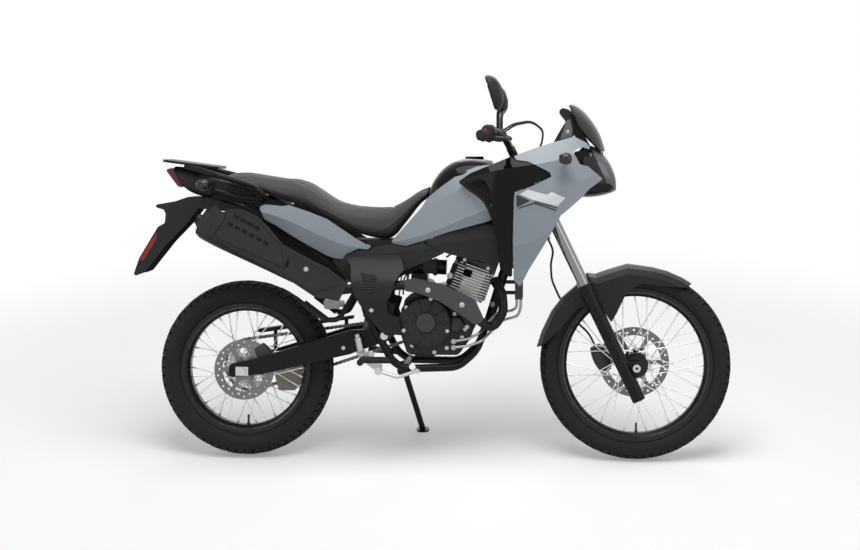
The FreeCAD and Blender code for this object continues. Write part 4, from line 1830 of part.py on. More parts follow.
def chassis():
    return {
        "main_frame": main_frame(),
        "pivot_bolt": pivot_bolt(),
        "subframe": subframe(),
        "swingarm": swingarm(),
        "rear_axle": rear_axle(),
        "rear_shock": rear_shock(),
        "crankcase": crankcase(),
        "engine_covers": engine_covers(),
        "cylinder": cylinder(),
        "exhaust_pipe": exhaust_pipe(),
        "pipe_guard": pipe_guard(),
        "muffler": muffler(),
        "muffler_guard": muffler_guard(),
        "oil_cooler": oil_cooler(),
        "oil_lines": oil_lines(),
        "fuel_tank": fuel_tank(),
        "tank_panels": tank_panels(),
        "shroud_vanes": shroud_vanes(),
        "shroud_wings": shroud_wings(),
        "frame_covers": frame_covers(),
        "tail_panels": tail_panels(),
        "seat": seat(),
        "luggage_rack": luggage_rack(),
        "tail_cowl": tail_cowl(),
        "tail_lamp": tail_lamp(),
        "rear_fender": rear_fender(),
        "indicators": indicators(),
        "fairing_stay": fairing_stay(),
        "headlamp": headlamp(),
        "windscreen": windscreen(),
        "instrument_panel": instrument_panel(),
        "foot_pegs": foot_pegs(),
        "foot_levers": foot_levers(),
        "drive_chain": drive_chain(),
        "chain_guard": chain_guard(),
        "rear_caliper": rear_caliper(),
        "side_stand": side_stand(),
    }


def steering():
    return {
        "fork_tubes": fork_tubes(),
        "fork_legs": fork_legs(),
        "front_axle": front_axle(),
        "triple_clamps": triple_clamps(),
        "handlebar": handlebar(),
        "bar_cables": bar_cables(),
        "brake_hose": brake_hose(),
        "grips": grips(),
        "controls": controls(),
        "mirrors": mirrors(),
        "front_fender": front_fender(),
        "front_caliper": front_caliper(),
    }


def stance():
    """The matrix that leans the upright machine on its side stand, with both tyres on the floor."""
    lean = FreeCAD.Matrix()
    lean.rotateX(radians(-LEAN))
    level = FreeCAD.Matrix()
    level.rotateY(nose_down())
    lift = FreeCAD.Matrix()
    lift.move(vec(0, 0, crown_drop(REAR_TYRE_WIDTH)))
    return lift.multiply(level).multiply(lean)


def joint_lines(placed):
    """Each joint's place in metres and its axis, in the frame of the placed machine."""
    turn = FreeCAD.Placement(placed).Rotation
    pivot = stand_points()[0]
    axis, fold = stand_hinge()
    rows = {
        "front_wheel_spin": (FRONT_AXLE, Y_AXIS),
        "rear_wheel_spin": (REAR_AXLE, Y_AXIS),
        "steering": (STEERING_POINT, FORK_UP),
        "stand_fold": (pivot, axis),
    }
    out = {}
    for name, (place, way) in rows.items():
        there = placed.multVec(place)
        along = turn.multVec(way)
        out[name] = {"pos_m": [c / 1000 for c in there], "axis": list(along)}
    out["stand_fold"]["fold_deg"] = fold
    return out


def mount_lines(placed):
    """The interfaces that other makers' parts fit: the rack's bolt circle and top, and the hollow front axle."""
    turn = FreeCAD.Placement(placed).Rotation
    rear, front, way, up = rack_lines()
    top = times(rear.add(front), 0.5).add(times(up, RACK_THICK))
    reach = FORK_HALF + AXLE_LUG_WIDTH / 2 + AXLE_BEYOND_LUG
    bore_length = 2 * reach + AXLE_NUT_THICK
    circle = {"pcd_mm": 2 * RACK_HOLE_CIRCLE, "count": RACK_HOLES, "hole_r_mm": RACK_HOLE_RADIUS}
    rows = (
        ("rack_bolts", "bolt_pattern", top, up, circle, "bolted"),
        ("rack_top", "flat_face", top, up, {}, "rest"),
        ("front_axle_bore", "bore", FRONT_AXLE, Y_AXIS, {"r_mm": AXLE_BORE, "length_mm": bore_length}, "sliding"),
    )
    out = []
    for name, kind, place, way, dims, fit in rows:
        there = [c / 1000 for c in placed.multVec(place)]
        out.append({"name": name, "kind": kind, "pos_m": there, "axis": list(turn.multVec(way)), "dims": dims, "fit": fit})
    return out


if __name__ == "__main__":
    os.makedirs("parts", exist_ok=True)
    placed = stance()
    shapes = {**wheels(), **steering(), **chassis()}
    whole = FreeCAD.BoundBox()
    for shape in shapes.values():
        shape.transformShape(placed)
        whole.add(shape.optimalBoundingBox())
    home = vec(-whole.Center.x, -whole.Center.y, -whole.ZMin)
    for name, shape in shapes.items():
        shape.translated(home).exportStep(f"parts/{name}.step")
    centring = FreeCAD.Matrix()
    centring.move(home)
    placed = centring.multiply(placed)
    print(json.dumps({**joint_lines(placed), "mounts": mount_lines(placed)}))
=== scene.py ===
import json
import math

import bmesh
import bpy
from mathutils import Matrix, Vector
from mathutils.bvhtree import BVHTree


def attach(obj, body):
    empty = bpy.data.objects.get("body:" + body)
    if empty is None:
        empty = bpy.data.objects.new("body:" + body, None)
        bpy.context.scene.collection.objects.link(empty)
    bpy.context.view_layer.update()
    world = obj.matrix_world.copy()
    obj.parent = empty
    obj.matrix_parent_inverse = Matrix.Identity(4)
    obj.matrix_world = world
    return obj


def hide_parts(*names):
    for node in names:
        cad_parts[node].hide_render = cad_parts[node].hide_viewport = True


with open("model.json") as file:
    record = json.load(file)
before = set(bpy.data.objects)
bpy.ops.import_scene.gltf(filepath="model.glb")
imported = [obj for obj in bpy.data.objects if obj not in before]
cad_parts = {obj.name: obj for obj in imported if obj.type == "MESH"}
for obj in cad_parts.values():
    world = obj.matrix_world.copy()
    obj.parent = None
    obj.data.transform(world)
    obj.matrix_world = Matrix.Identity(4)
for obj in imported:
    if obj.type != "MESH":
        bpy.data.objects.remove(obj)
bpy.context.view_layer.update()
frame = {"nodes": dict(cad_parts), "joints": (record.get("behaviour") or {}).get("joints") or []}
node = frame["nodes"]
joint = {j["name"]: j for j in frame["joints"]}

# The motorcycle leans on its side stand. Every piece below is drawn on the upright machine, in metres: x forward
# from the rear axle, y to the rider's left, z up from the ground. "leant" then lays it over as it parks.
nose_dip, parked_lean = math.radians(0.0124), math.radians(-11.0)
lean = Matrix.Rotation(nose_dip, 4, "Y") @ Matrix.Rotation(parked_lean, 4, "X")
wheelbase, screen_height = 1.424, 1.29
rear_axle = Vector((0, 0, 0.321))
front_axle = Vector((wheelbase, 0, 0.345))
leant = Matrix.Translation(Vector(joint["rear_wheel_spin"]["pos_m"]) - lean @ rear_axle) @ lean
upright = leant.inverted()


# The camera stands level with the machine's headlamp, six metres off on its right and a little ahead of it.
# It is turned and leant as the photograph was taken.
camera = bpy.data.cameras.new("camera")
camera.lens = 68.44
camera.shift_y = -125 / 860
camera_stand = bpy.data.objects.new("camera", camera)
bpy.context.scene.collection.objects.link(camera_stand)
turned = math.asin(98.1 / 1424)
view_axes = Matrix((
    (math.cos(turned), 0.0, math.sin(turned)),
    (math.sin(turned), 0.0, -math.cos(turned)),
    (0.0, 1.0, 0.0),
)).to_4x4()
camera_stand.matrix_world = leant @ Matrix.Translation((1.09, -5.9886, 1.124)) @ view_axes
bpy.context.scene.camera = camera_stand


# The studio: a pale floor that runs into a pale background, and soft light from above, from the front
# and from both sides. Metal and glass see the same pale room.
scene = bpy.context.scene
scene.view_settings.view_transform = "Standard"
room = bpy.data.worlds.new("room")
scene.world = room
room.use_nodes = True
air = room.node_tree
air.nodes.clear()


def feed(tree, made, inputs):
    """Gives a node's inputs their values, or links them to an output, or to another node's first output."""
    for key, value in inputs.items():
        if isinstance(value, bpy.types.Node):
            value = value.outputs[0]
        if isinstance(value, bpy.types.NodeSocket):
            tree.links.new(value, made.inputs[key])
        else:
            made.inputs[key].default_value = value


def add(tree, kind, inputs=None, **settings):
    """Adds a node with its own settings and inputs."""
    made = tree.nodes.new(kind)
    for label, value in settings.items():
        setattr(made, label, value)
    feed(tree, made, inputs or {})
    return made


def reckon(tree, operation, *terms):
    """Adds a sum of numbers and outputs."""
    return add(tree, "ShaderNodeMath", dict(enumerate(terms)), operation=operation)


def pale_paths(tree):
    """One where a ray comes from the camera, from a reflection or through glass, and nought elsewhere."""
    paths = add(tree, "ShaderNodeLightPath").outputs
    seen = reckon(tree, "MAXIMUM", paths["Is Camera Ray"], paths["Is Glossy Ray"])
    return reckon(tree, "MAXIMUM", seen, paths["Is Transmission Ray"])


fill = add(air, "ShaderNodeBackground", {"Color": (0.93, 0.95, 1.0, 1), "Strength": 0.13})
backdrop = add(air, "ShaderNodeBackground", {"Color": (1, 1, 1, 1), "Strength": 1.0})
choose = add(air, "ShaderNodeMixShader", {0: pale_paths(air), 1: fill, 2: backdrop})
add(air, "ShaderNodeOutputWorld", {"Surface": choose})

for name, place, aim, power, size in (
    ("ceiling light", (0.2, -1.0, 4.4), (0, 0, 0.5), 150, 3.0),
    ("camera side light", (-2.6, -5.0, 3.0), (0, 0, 0.7), 15, 2.0),
    ("nose light", (4.2, -2.6, 2.4), (0.2, 0, 0.7), 22, 2.0),
    ("far side light", (0.5, 4.6, 3.0), (0, 0, 0.6), 50, 3.0),
    ("tail light", (-4.4, -0.4, 1.9), (0, 0, 0.6), 20, 2.0),
):
    light = bpy.data.lights.new(name, "AREA")
    light.energy = power
    light.size = size
    stand = bpy.data.objects.new(name, light)
    scene.collection.objects.link(stand)
    stand.location = place
    stand.rotation_euler = (Vector(aim) - Vector(place)).to_track_quat("-Z", "Y").to_euler()

half = 30.0
floor_mesh = bpy.data.meshes.new("floor")
floor_mesh.from_pydata([(-half, -half, 0), (half, -half, 0), (half, half, 0), (-half, half, 0)], [], [(0, 1, 2, 3)])
floor = bpy.data.objects.new("floor", floor_mesh)
scene.collection.objects.link(floor)
floor_paint = bpy.data.materials.new("pale floor")
floor_paint.use_nodes = True
tree = floor_paint.node_tree
shader = tree.nodes["Principled BSDF"]
pale = pale_paths(tree)
feed(tree, shader, {
    "Base Color": (0.8, 0.8, 0.8, 1), "Roughness": 0.9, "Specular IOR Level": 0.1,
    "Emission Color": (1, 1, 1, 1), "Emission Strength": reckon(tree, "MULTIPLY", pale, 0.27),
})
place = add(tree, "ShaderNodeTexCoord").outputs["Object"]
distance = add(tree, "ShaderNodeVectorMath", {0: place}, operation="LENGTH").outputs["Value"]
ends = {"From Min": 1.5, "From Max": 3.2, "Value": distance}
away = add(tree, "ShaderNodeMapRange", ends, interpolation_type="SMOOTHSTEP").outputs["Result"]
white = add(tree, "ShaderNodeEmission", {"Strength": 1.0})
blend_floor = add(tree, "ShaderNodeMixShader", {0: reckon(tree, "MULTIPLY", away, pale), 1: shader, 2: white})
feed(tree, tree.nodes["Material Output"], {"Surface": blend_floor})
floor_mesh.materials.append(floor_paint)


# Frame: the tubes of the main frame, subframe, swingarm, stand and rack are welded steel under satin black
# paint, held together by plated flange bolts. The paint lies a little unevenly, as every finish here does.
def new_group(name, kind, inputs, outputs):
    """An empty node group with named inputs and outputs, and what its input node gives."""
    group = bpy.data.node_groups.new(name, kind)
    for label, form, value in inputs:
        socket = group.interface.new_socket(label, in_out="INPUT", socket_type="NodeSocket" + form)
        if value is not None:
            socket.default_value = value
    for label, form in outputs:
        group.interface.new_socket(label, in_out="OUTPUT", socket_type="NodeSocket" + form)
    return group, group.nodes.new("NodeGroupInput").outputs


surface, given = new_group("uneven finish", "ShaderNodeTree", (
    ("Colour", "Color", (0.5, 0.5, 0.5, 1)), ("Roughness", "Float", 0.5), ("Spread", "Float", 0.1),
    ("Patches", "Float", 6.0), ("Grain", "Float", 400.0), ("Depth", "Float", 0.0002),
), (("Colour", "Color"), ("Roughness", "Float"), ("Normal", "Vector")))
place = add(surface, "ShaderNodeTexCoord").outputs["Object"]
patches = add(surface, "ShaderNodeTexNoise", {"Vector": place, "Scale": given["Patches"], "Detail": 4})
grain = add(surface, "ShaderNodeTexNoise", {"Vector": place, "Scale": given["Grain"], "Detail": 2})
centred = reckon(surface, "SUBTRACT", patches, 0.5)
bright = reckon(surface, "ADD", reckon(surface, "MULTIPLY", centred, given["Spread"]), 1.0)
tint = add(surface, "ShaderNodeVectorMath", {0: given["Colour"], "Scale": bright}, operation="SCALE")
rough = reckon(surface, "MULTIPLY_ADD", centred, 0.16, given["Roughness"])
relief = add(surface, "ShaderNodeBump", {"Strength": 1.0, "Distance": given["Depth"], "Height": grain})
add(surface, "NodeGroupOutput", {"Colour": tint, "Roughness": rough, "Normal": relief})


def finish(name, colour, roughness, metallic=0.0, shine=0.5, spread=0.3, patches=7.0, grain=500.0, depth=0.00005):
    """A material whose colour, roughness and relief vary a little over the surface."""
    material = bpy.data.materials.new(name)
    material.use_nodes = True
    tree = material.node_tree
    uneven = add(tree, "ShaderNodeGroup", {
        "Colour": (*colour, 1), "Roughness": roughness, "Spread": spread, "Patches": patches, "Grain": grain,
        "Depth": depth,
    }, name="uneven", node_tree=surface).outputs
    feed(tree, tree.nodes["Principled BSDF"], {
        "Metallic": metallic, "Specular IOR Level": shine, "Base Color": uneven["Colour"],
        "Roughness": uneven["Roughness"], "Normal": uneven["Normal"],
    })
    return material


def dress(material, slot, *names):
    """Gives CAD nodes their material; the slot is not used."""
    for name in names:
        node[name].data.materials.clear()
        node[name].data.materials.append(material)


def keep(name, mesh, material, body="chassis", smooth=True):
    """Lays a finished mesh over with the machine and gives it its material and body."""
    mesh.transform(leant)
    mesh.materials.clear()
    mesh.materials.append(material)
    for face in mesh.polygons:
        face.use_smooth = smooth
    piece = bpy.data.objects.new(name, mesh)
    scene.collection.objects.link(piece)
    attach(piece, body)
    return piece


skins = {}


def beside(name, x, z, side=-1):
    """The outermost point and the normal of a CAD node on the right (-1) or the left (1) of the upright machine."""
    if name not in skins:
        mesh = node[name].data
        corners = [upright @ v.co for v in mesh.vertices]
        skins[name] = BVHTree.FromPolygons(corners, [tuple(p.vertices) for p in mesh.polygons])
    place, normal = skins[name].ray_cast(Vector((x, side * 0.7, z)), Vector((0, -side, 0)))[:2]
    if place is None:
        raise ValueError(f"no surface of {name} beside x {x}, z {z}")
    return place, normal


def run_tree(name, mesh, tree, values):
    """Runs a Geometry Nodes tree on a mesh and returns the plain mesh that it makes."""
    holder = bpy.data.objects.new(name, mesh)
    scene.collection.objects.link(holder)
    modifier = holder.modifiers.new("tree", "NODES")
    modifier.node_group = tree
    for item in tree.interface.items_tree:
        if item.in_out == "INPUT" and item.name in values:
            modifier[item.identifier] = values[item.name]
    made = bpy.data.meshes.new_from_object(holder.evaluated_get(bpy.context.evaluated_depsgraph_get()))
    bpy.data.objects.remove(holder)
    return made


def new_tree(name, inputs):
    """An empty Geometry Nodes tree with named inputs and a material, and what its input node gives."""
    inputs = (("Geometry", "Geometry", None), *inputs, ("Material", "Material", None))
    return new_group(name, "GeometryNodeTree", inputs, (("Geometry", "Geometry"),))


def end_tree(tree, given, places):
    """Ends a tree in copies on points, Realize Instances and Set Material."""
    real = add(tree, "GeometryNodeRealizeInstances", {"Geometry": add(tree, "GeometryNodeInstanceOnPoints", places)})
    paint = add(tree, "GeometryNodeSetMaterial", {"Geometry": real, "Material": given["Material"]})
    add(tree, "NodeGroupOutput", {"Geometry": paint})


def stored(tree, name, kind="FLOAT"):
    """A value that each point of a mesh carries."""
    return add(tree, "GeometryNodeInputNamedAttribute", {"Name": name}, data_type=kind).outputs["Attribute"]


bolt_tree, given = new_tree("bolt heads", (
    ("Sides", "Int", 6), ("Head height", "Float", 0.6), ("Washer", "Float", 0.22),
))
washer = {"Vertices": 20, "Radius": 1.0, "Depth": given["Washer"]}
head = {"Vertices": given["Sides"], "Radius": 0.72, "Depth": given["Head height"]}
crown = {"Vertices": 12, "Radius Bottom": 0.6, "Radius Top": 0.42, "Depth": 0.1}
lift = {"Z": reckon(bolt_tree, "MULTIPLY", given["Head height"], 0.5)}
lifted = {
    "Geometry": add(bolt_tree, "GeometryNodeMeshCone", crown),
    "Translation": add(bolt_tree, "ShaderNodeCombineXYZ", lift),
}
joined = add(bolt_tree, "GeometryNodeJoinGeometry")
for kind, values in (("MeshCylinder", washer), ("MeshCylinder", head), ("Transform", lifted)):
    feed(bolt_tree, joined, {"Geometry": add(bolt_tree, "GeometryNode" + kind, values)})
facing = {"Vector": stored(bolt_tree, "facing", "FLOAT_VECTOR")}
end_tree(bolt_tree, given, {
    "Points": given["Geometry"], "Instance": joined, "Scale": stored(bolt_tree, "radius"),
    "Rotation": add(bolt_tree, "FunctionNodeAlignRotationToVector", facing, axis="Z"),
})


def bolts(name, places, body="chassis"):
    """Plated flange bolts: places are (point, the way the head faces, flange radius)."""
    mesh = bpy.data.meshes.new(name)
    mesh.from_pydata([tuple(place) for place, way, radius in places], [], [])
    for label, kind in (("facing", "FLOAT_VECTOR"), ("radius", "FLOAT")):
        mesh.attributes.new(label, kind, "POINT")
    for i, (place, way, radius) in enumerate(places):
        mesh.attributes["facing"].data[i].vector = way
        mesh.attributes["radius"].data[i].value = radius
    keep(name, run_tree(name, mesh, bolt_tree, {"Material": plated}), plated, body, smooth=False)


frame_paint = finish("satin black frame paint", (0.006, 0.006, 0.007), 0.34, shine=0.18, spread=0.4)
dress(frame_paint, "frame_black", "main_frame", "subframe", "swingarm", "side_stand", "luggage_rack", "fairing_stay",
      "fork_legs", "triple_clamps", "handlebar")
plated = finish("zinc plated steel", (0.44, 0.44, 0.43), 0.34, metallic=1.0, spread=0.15, patches=60)
frame_bolts = []
for side in (1, -1):
    for name, x, z, radius in (
        ("main_frame", 0.622, 0.345, 0.011), ("main_frame", 0.906, 0.56, 0.01), ("swingarm", 0.37, 0.408, 0.007),
    ):
        frame_bolts.append((*beside(name, x, z, side), radius))
bolts("frame_bolts", frame_bolts)


# Wheels: trail tyres with open tread blocks on black alloy rims, laced to their hubs with 36 bright spokes.
# The carcass is moulded rubber, and the blocks stand proud of it up to the tyre's full size.
tyre_rubber = finish("tyre rubber", (0.019, 0.019, 0.02), 0.74, shine=0.2, spread=0.5, grain=900, depth=0.0001)
crown_share = 0.56
shoulder_turn = 52.0


def round_about(tree, given, count, item):
    """Ends a tree in copies of one item, evenly round the y axis."""
    share = reckon(tree, "DIVIDE", add(tree, "GeometryNodeInputIndex"), count)
    about = add(tree, "ShaderNodeCombineXYZ", {"Y": reckon(tree, "MULTIPLY", share, 2 * math.pi)})
    end_tree(tree, given, {
        "Points": add(tree, "GeometryNodeMeshLine", {"Offset": (0, 0, 0), "Count": count}), "Instance": item,
        "Rotation": add(tree, "FunctionNodeEulerToRotation", {"Euler": about}),
    })


tread_tree, given = new_tree("blocks round a tyre", (("Pitches", "Int", 30),))
round_about(tread_tree, given, given["Pitches"], given["Geometry"])


def ring_at(bm, centre, across, other, radius, count):
    """Points evenly round a centre."""
    turns = [2 * math.pi * i / count for i in range(count)]
    return [bm.verts.new(centre + (across * math.cos(t) + other * math.sin(t)) * radius) for t in turns]


def join_rings(bm, rings, count):
    """Faces between rings of points and over both ends; a ring on the axis is a single point, and needs none."""
    for one, two in zip(rings, rings[1:]):
        for i in range(count):
            corners = [one[i % len(one)], one[(i + 1) % len(one)], two[(i + 1) % len(two)], two[i % len(two)]]
            corners = list(dict.fromkeys(corners))
            if len(corners) > 2:
                bm.faces.new(corners)
    for ring in (rings[0], rings[-1]):
        if len(ring) > 1:
            bm.faces.new(ring)


def crown_place(radius, width, turn, depth):
    """How far from the axle and across the tread lies, at a turn in degrees across it and a depth below it."""
    crown = crown_share * width
    turn = math.radians(turn)
    return radius - crown + (crown - depth) * math.cos(turn), (crown - depth) * math.sin(turn)


def tread_block(bm, radius, width, low, high, start, end, depth, lead):
    """One block between two turns across and two lengths along, with its far side moved on by lead."""
    inset = 0.0012
    rows = max(2, int((high - low) / 8) + 1)
    rings = []
    for i in range(rows + 1):
        ring = []
        for sink, along in ((0.0, start + inset), (0.0, end - inset), (depth, end + inset), (depth, start - inset)):
            reach, across = crown_place(radius, width, low + (high - low) * i / rows, sink)
            spin = (along + lead * i / rows) / radius
            ring.append(bm.verts.new((reach * math.cos(spin), across, reach * math.sin(spin))))
        rings.append(ring)
    join_rings(bm, rings, len(ring))


def arc_through(a, b, c, count):
    """Points on the arc through three points (radius, y)."""
    ax, ay, bx, by, cx, cy = *a, *b, *c
    d = 2 * (ax * (by - cy) + bx * (cy - ay) + cx * (ay - by))
    ux = ((ax ** 2 + ay ** 2) * (by - cy) + (bx ** 2 + by ** 2) * (cy - ay) + (cx ** 2 + cy ** 2) * (ay - by)) / d
    uy = ((ax ** 2 + ay ** 2) * (cx - bx) + (bx ** 2 + by ** 2) * (ax - cx) + (cx ** 2 + cy ** 2) * (bx - ax)) / d
    size = math.hypot(ax - ux, ay - uy)
    start = math.atan2(ay - uy, ax - ux)
    sweep = (math.atan2(cy - uy, cx - ux) - start + math.pi) % (2 * math.pi) - math.pi
    turns = [start + sweep * i / count for i in range(count + 1)]
    return [(ux + size * math.cos(t), uy + size * math.sin(t)) for t in turns]


def tyre(name, centre, radius, width, seat, rim_width, body, pitches, depth):
    """The carcass and the tread of one tyre, as one piece in place of the plain one."""
    gap, flange, wall = 0.0003, 0.011, 0.011
    bead = rim_width / 2 - gap
    turns = [-shoulder_turn + 2 * shoulder_turn * i / 24 for i in range(25)]
    over = [crown_place(radius, width, t, depth * min(1.0, (shoulder_turn - abs(t)) / 6)) for t in turns]
    lip = (seat + flange + gap, bead)
    belly = (seat + 0.45 * (radius - seat), width / 2)
    side = arc_through(lip, belly, over[-1], 12)
    side[3] = (side[3][0], side[3][1] + 0.0007)
    outer = [(r, -y) for r, y in side] + over[1:-1] + side[::-1]
    inner = [(seat + flange, bead - wall), (radius - 2 * wall, width / 4), (radius - 2 * wall, -width / 4),
             (seat + flange, wall - bead)]
    loop = [(seat + gap, -bead)] + outer + [(seat + gap, bead), (seat + gap, bead - wall)] + inner
    loop.append((seat + gap, wall - bead))
    bm = bmesh.new()
    stations = 120
    rings = []
    for i in range(stations):
        t = 2 * math.pi * i / stations
        rings.append([bm.verts.new((r * math.cos(t), y, r * math.sin(t))) for r, y in loop])
    for one, two in zip(rings, rings[1:] + rings[:1]):
        for k in range(len(loop)):
            bm.faces.new((one[k], one[(k + 1) % len(loop)], two[(k + 1) % len(loop)], two[k]))
    pitch = 2 * math.pi * radius / pitches
    part = bmesh.new()
    foot = depth + 0.0006
    for side in (1, -1):
        shift = 0.0 if side > 0 else 0.5 * pitch
        for low, high, start, end, lead in (
            (1.5, 13.0, 0.06, 0.52, 0.1), (15.5, 31.0, 0.3, 0.78, 0.12), (15.5, 30.0, -0.12, 0.22, 0.06),
            (34.0, 50.5, 0.02, 0.4, 0.0), (34.0, 50.5, 0.52, 0.9, 0.0),
        ):
            tread_block(part, radius, width, side * low, side * high, shift + start * pitch, shift + end * pitch,
                        foot, lead * pitch)
    bmesh.ops.recalc_face_normals(part, faces=part.faces)
    mesh = bpy.data.meshes.new("tread pitch")
    part.to_mesh(mesh)
    part.free()
    tread = run_tree("tread", mesh, tread_tree, {"Pitches": pitches, "Material": tyre_rubber})
    bmesh.ops.recalc_face_normals(bm, faces=bm.faces)
    bm.from_mesh(tread)
    bmesh.ops.translate(bm, vec=centre, verts=bm.verts)
    for edge in bm.edges:
        edge.smooth = edge.calc_face_angle(0) < math.radians(35)
    mesh = bpy.data.meshes.new(name)
    bm.to_mesh(mesh)
    bm.free()
    piece = keep(name, mesh, tyre_rubber, body)
    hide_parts(name)


tyre("front_tyre", front_axle, 0.3448, 0.092, 0.267, 0.06, "front_wheel", 34, 0.006)
tyre("rear_tyre", rear_axle, 0.321, 0.122, 0.229, 0.078, "rear_wheel", 30, 0.007)

dress(finish("black anodised rim", (0.01, 0.01, 0.011), 0.26, shine=0.3, spread=0.2),
      "frame_black", "front_rim", "rear_rim", "front_hub")
dress(finish("bright spoke steel", (0.72, 0.72, 0.71), 0.22, metallic=1.0, spread=0.1),
      "chrome", "front_spokes", "rear_spokes")
cast_silver = finish("cast alloy", (0.46, 0.46, 0.45), 0.42, metallic=0.85, spread=0.3, grain=1200, depth=0.0001)
dress(cast_silver, "frame_black", "rear_hub")


def from_bmesh(name, bm, material, body="chassis", sharp=40):
    """Closes a bmesh into a piece, with its edges kept sharp above an angle in degrees."""
    bmesh.ops.remove_doubles(bm, verts=bm.verts, dist=1e-6)
    bmesh.ops.recalc_face_normals(bm, faces=bm.faces)
    for edge in bm.edges:
        edge.smooth = len(edge.link_faces) == 2 and edge.calc_face_angle(0) < math.radians(sharp)
    mesh = bpy.data.meshes.new(name)
    bm.to_mesh(mesh)
    bm.free()
    return keep(name, mesh, material, body)


def build(name, material, slot, *shapes, body="chassis"):
    """A piece of several shapes, each given as the function that draws it and that function's values."""
    bm = bmesh.new()
    for draw, *values in shapes:
        draw(bm, *values)
    return from_bmesh(name, bm, material, body)


def lathe(bm, start, way, profile, count):
    """A turned shape: the profile gives (distance along the axis, radius), and ends on the axis are closed."""
    way = Vector(way).normalized()
    across = way.orthogonal().normalized()
    other = way.cross(across)
    rings = []
    for along, radius in profile:
        centre = Vector(start) + way * along
        rings.append(ring_at(bm, centre, across, other, radius, count) if radius else [bm.verts.new(centre)])
    join_rings(bm, rings, count)


valve = ((0.0, 0.0), (0.0, 0.006), (0.004, 0.006), (0.008, 0.0042), (0.02, 0.0036), (0.02, 0.0042),
         (0.034, 0.0042), (0.036, 0.0))
for name, centre, seat, body in (
    ("front_valve", front_axle, 0.267, "front_wheel"), ("rear_valve", rear_axle, 0.229, "rear_wheel"),
):
    foot = centre + Vector((0.004, 0, 0.0185 - seat))
    build(name, finish(name + " rubber", (0.018, 0.018, 0.018), 0.6), "rubber", (lathe, foot, (0, 0, 1), valve, 16),
          body=body)


# Brakes: drilled discs of ground stainless steel, on which the grinding leaves fine rings about the axle.
# The calipers are cast alloy in black.
axle_rings, given = new_group("rings about an axle", "ShaderNodeTree", (("Centre", "Vector", None),),
                              (("Rings", "Float"),))
stand = add(axle_rings, "ShaderNodeMapping", {
    "Vector": add(axle_rings, "ShaderNodeTexCoord").outputs["Object"], "Location": given["Centre"],
    "Rotation": lean.to_euler(),
}, vector_type="TEXTURE")
flat = add(axle_rings, "ShaderNodeVectorMath", {0: stand, 1: (1, 0, 1)}, operation="MULTIPLY")
far_out = add(axle_rings, "ShaderNodeVectorMath", {0: flat}, operation="LENGTH").outputs["Value"]
rings = add(axle_rings, "ShaderNodeTexNoise", {"Scale": 1400, "Detail": 3}, noise_dimensions="1D")
feed(axle_rings, rings, {"W": far_out})
add(axle_rings, "NodeGroupOutput", {"Rings": rings})

for name, disc, centre in (
    ("ground front disc", "front_disc", front_axle), ("ground rear disc", "rear_disc", rear_axle),
):
    ground = finish(name, (0.17, 0.17, 0.165), 0.34, metallic=1.0, spread=0.3)
    tree = ground.node_tree
    rings = add(tree, "ShaderNodeGroup", {"Centre": leant @ centre}, node_tree=axle_rings)
    relief = add(tree, "ShaderNodeBump", {"Distance": 0.00012, "Height": rings})
    feed(tree, tree.nodes["Principled BSDF"], {"Normal": relief})
    dress(ground, "steel", disc)
dress(finish("black caliper paint", (0.016, 0.016, 0.017), 0.45), "engine_black", "rear_caliper", "front_caliper")
dress(finish("bare bright steel", (0.55, 0.55, 0.54), 0.32, metallic=1.0),
      "steel", "rear_axle", "front_axle", "pivot_bolt", "foot_levers", "rear_sprocket")
for name, centre, face, reach, side, body in (
    ("front_disc_bolts", front_axle, 0.0645, 0.046, 1, "front_wheel"),
    ("rear_disc_bolts", rear_axle, 0.0725, 0.05, -1, "rear_wheel"),
    ("sprocket_nuts", rear_axle, 0.082, 0.047, 1, "rear_wheel"),
):
    turns = [2 * math.pi * (i + 0.5) / 6 for i in range(6)]
    spots = [centre + Vector((reach * math.cos(t), side * face, reach * math.sin(t))) for t in turns]
    bolts(name, [(spot, (0, side, 0), 0.0065) for spot in spots], body)


# Chain: side plates, pins and rollers of oiled dark steel on a 15.875 mm pitch, round the two sprockets.
# The driving sprocket is cut from plate, and sits on the gearbox's shaft.
chain_steel = finish("oiled chain steel", (0.16, 0.155, 0.15), 0.42, metallic=0.9, spread=0.5, patches=90)
chain_pitch = 0.015875
chain_line = 0.0795
front_teeth, rear_teeth = 15, 38


def join(bm, part, round_by):
    """Rounds the edges of one shape and adds it to another."""
    if round_by:
        bmesh.ops.bevel(part, geom=part.edges[:] + part.verts[:], offset=round_by, segments=2, affect="EDGES")
    mesh = bpy.data.meshes.new("part")
    part.to_mesh(mesh)
    part.free()
    bm.from_mesh(mesh)
    bpy.data.meshes.remove(mesh)


def slab(bm, outline, low, high, round_by):
    """A flat plate with rounded edges, from its outline (x, z), between two distances across."""
    part = bmesh.new()
    bottom, top = ([part.verts.new((x, y, z)) for x, z in outline] for y in (low, high))
    part.faces.new(bottom)
    part.faces.new(top[::-1])
    for i in range(len(outline)):
        after = (i + 1) % len(outline)
        part.faces.new((bottom[i], top[i], top[after], bottom[after]))
    join(bm, part, round_by)


def midplane(x, z):
    """A place between both sides, from its shares of the wheelbase and of the height to the screen's top."""
    return Vector((x * wheelbase, 0, z * screen_height))


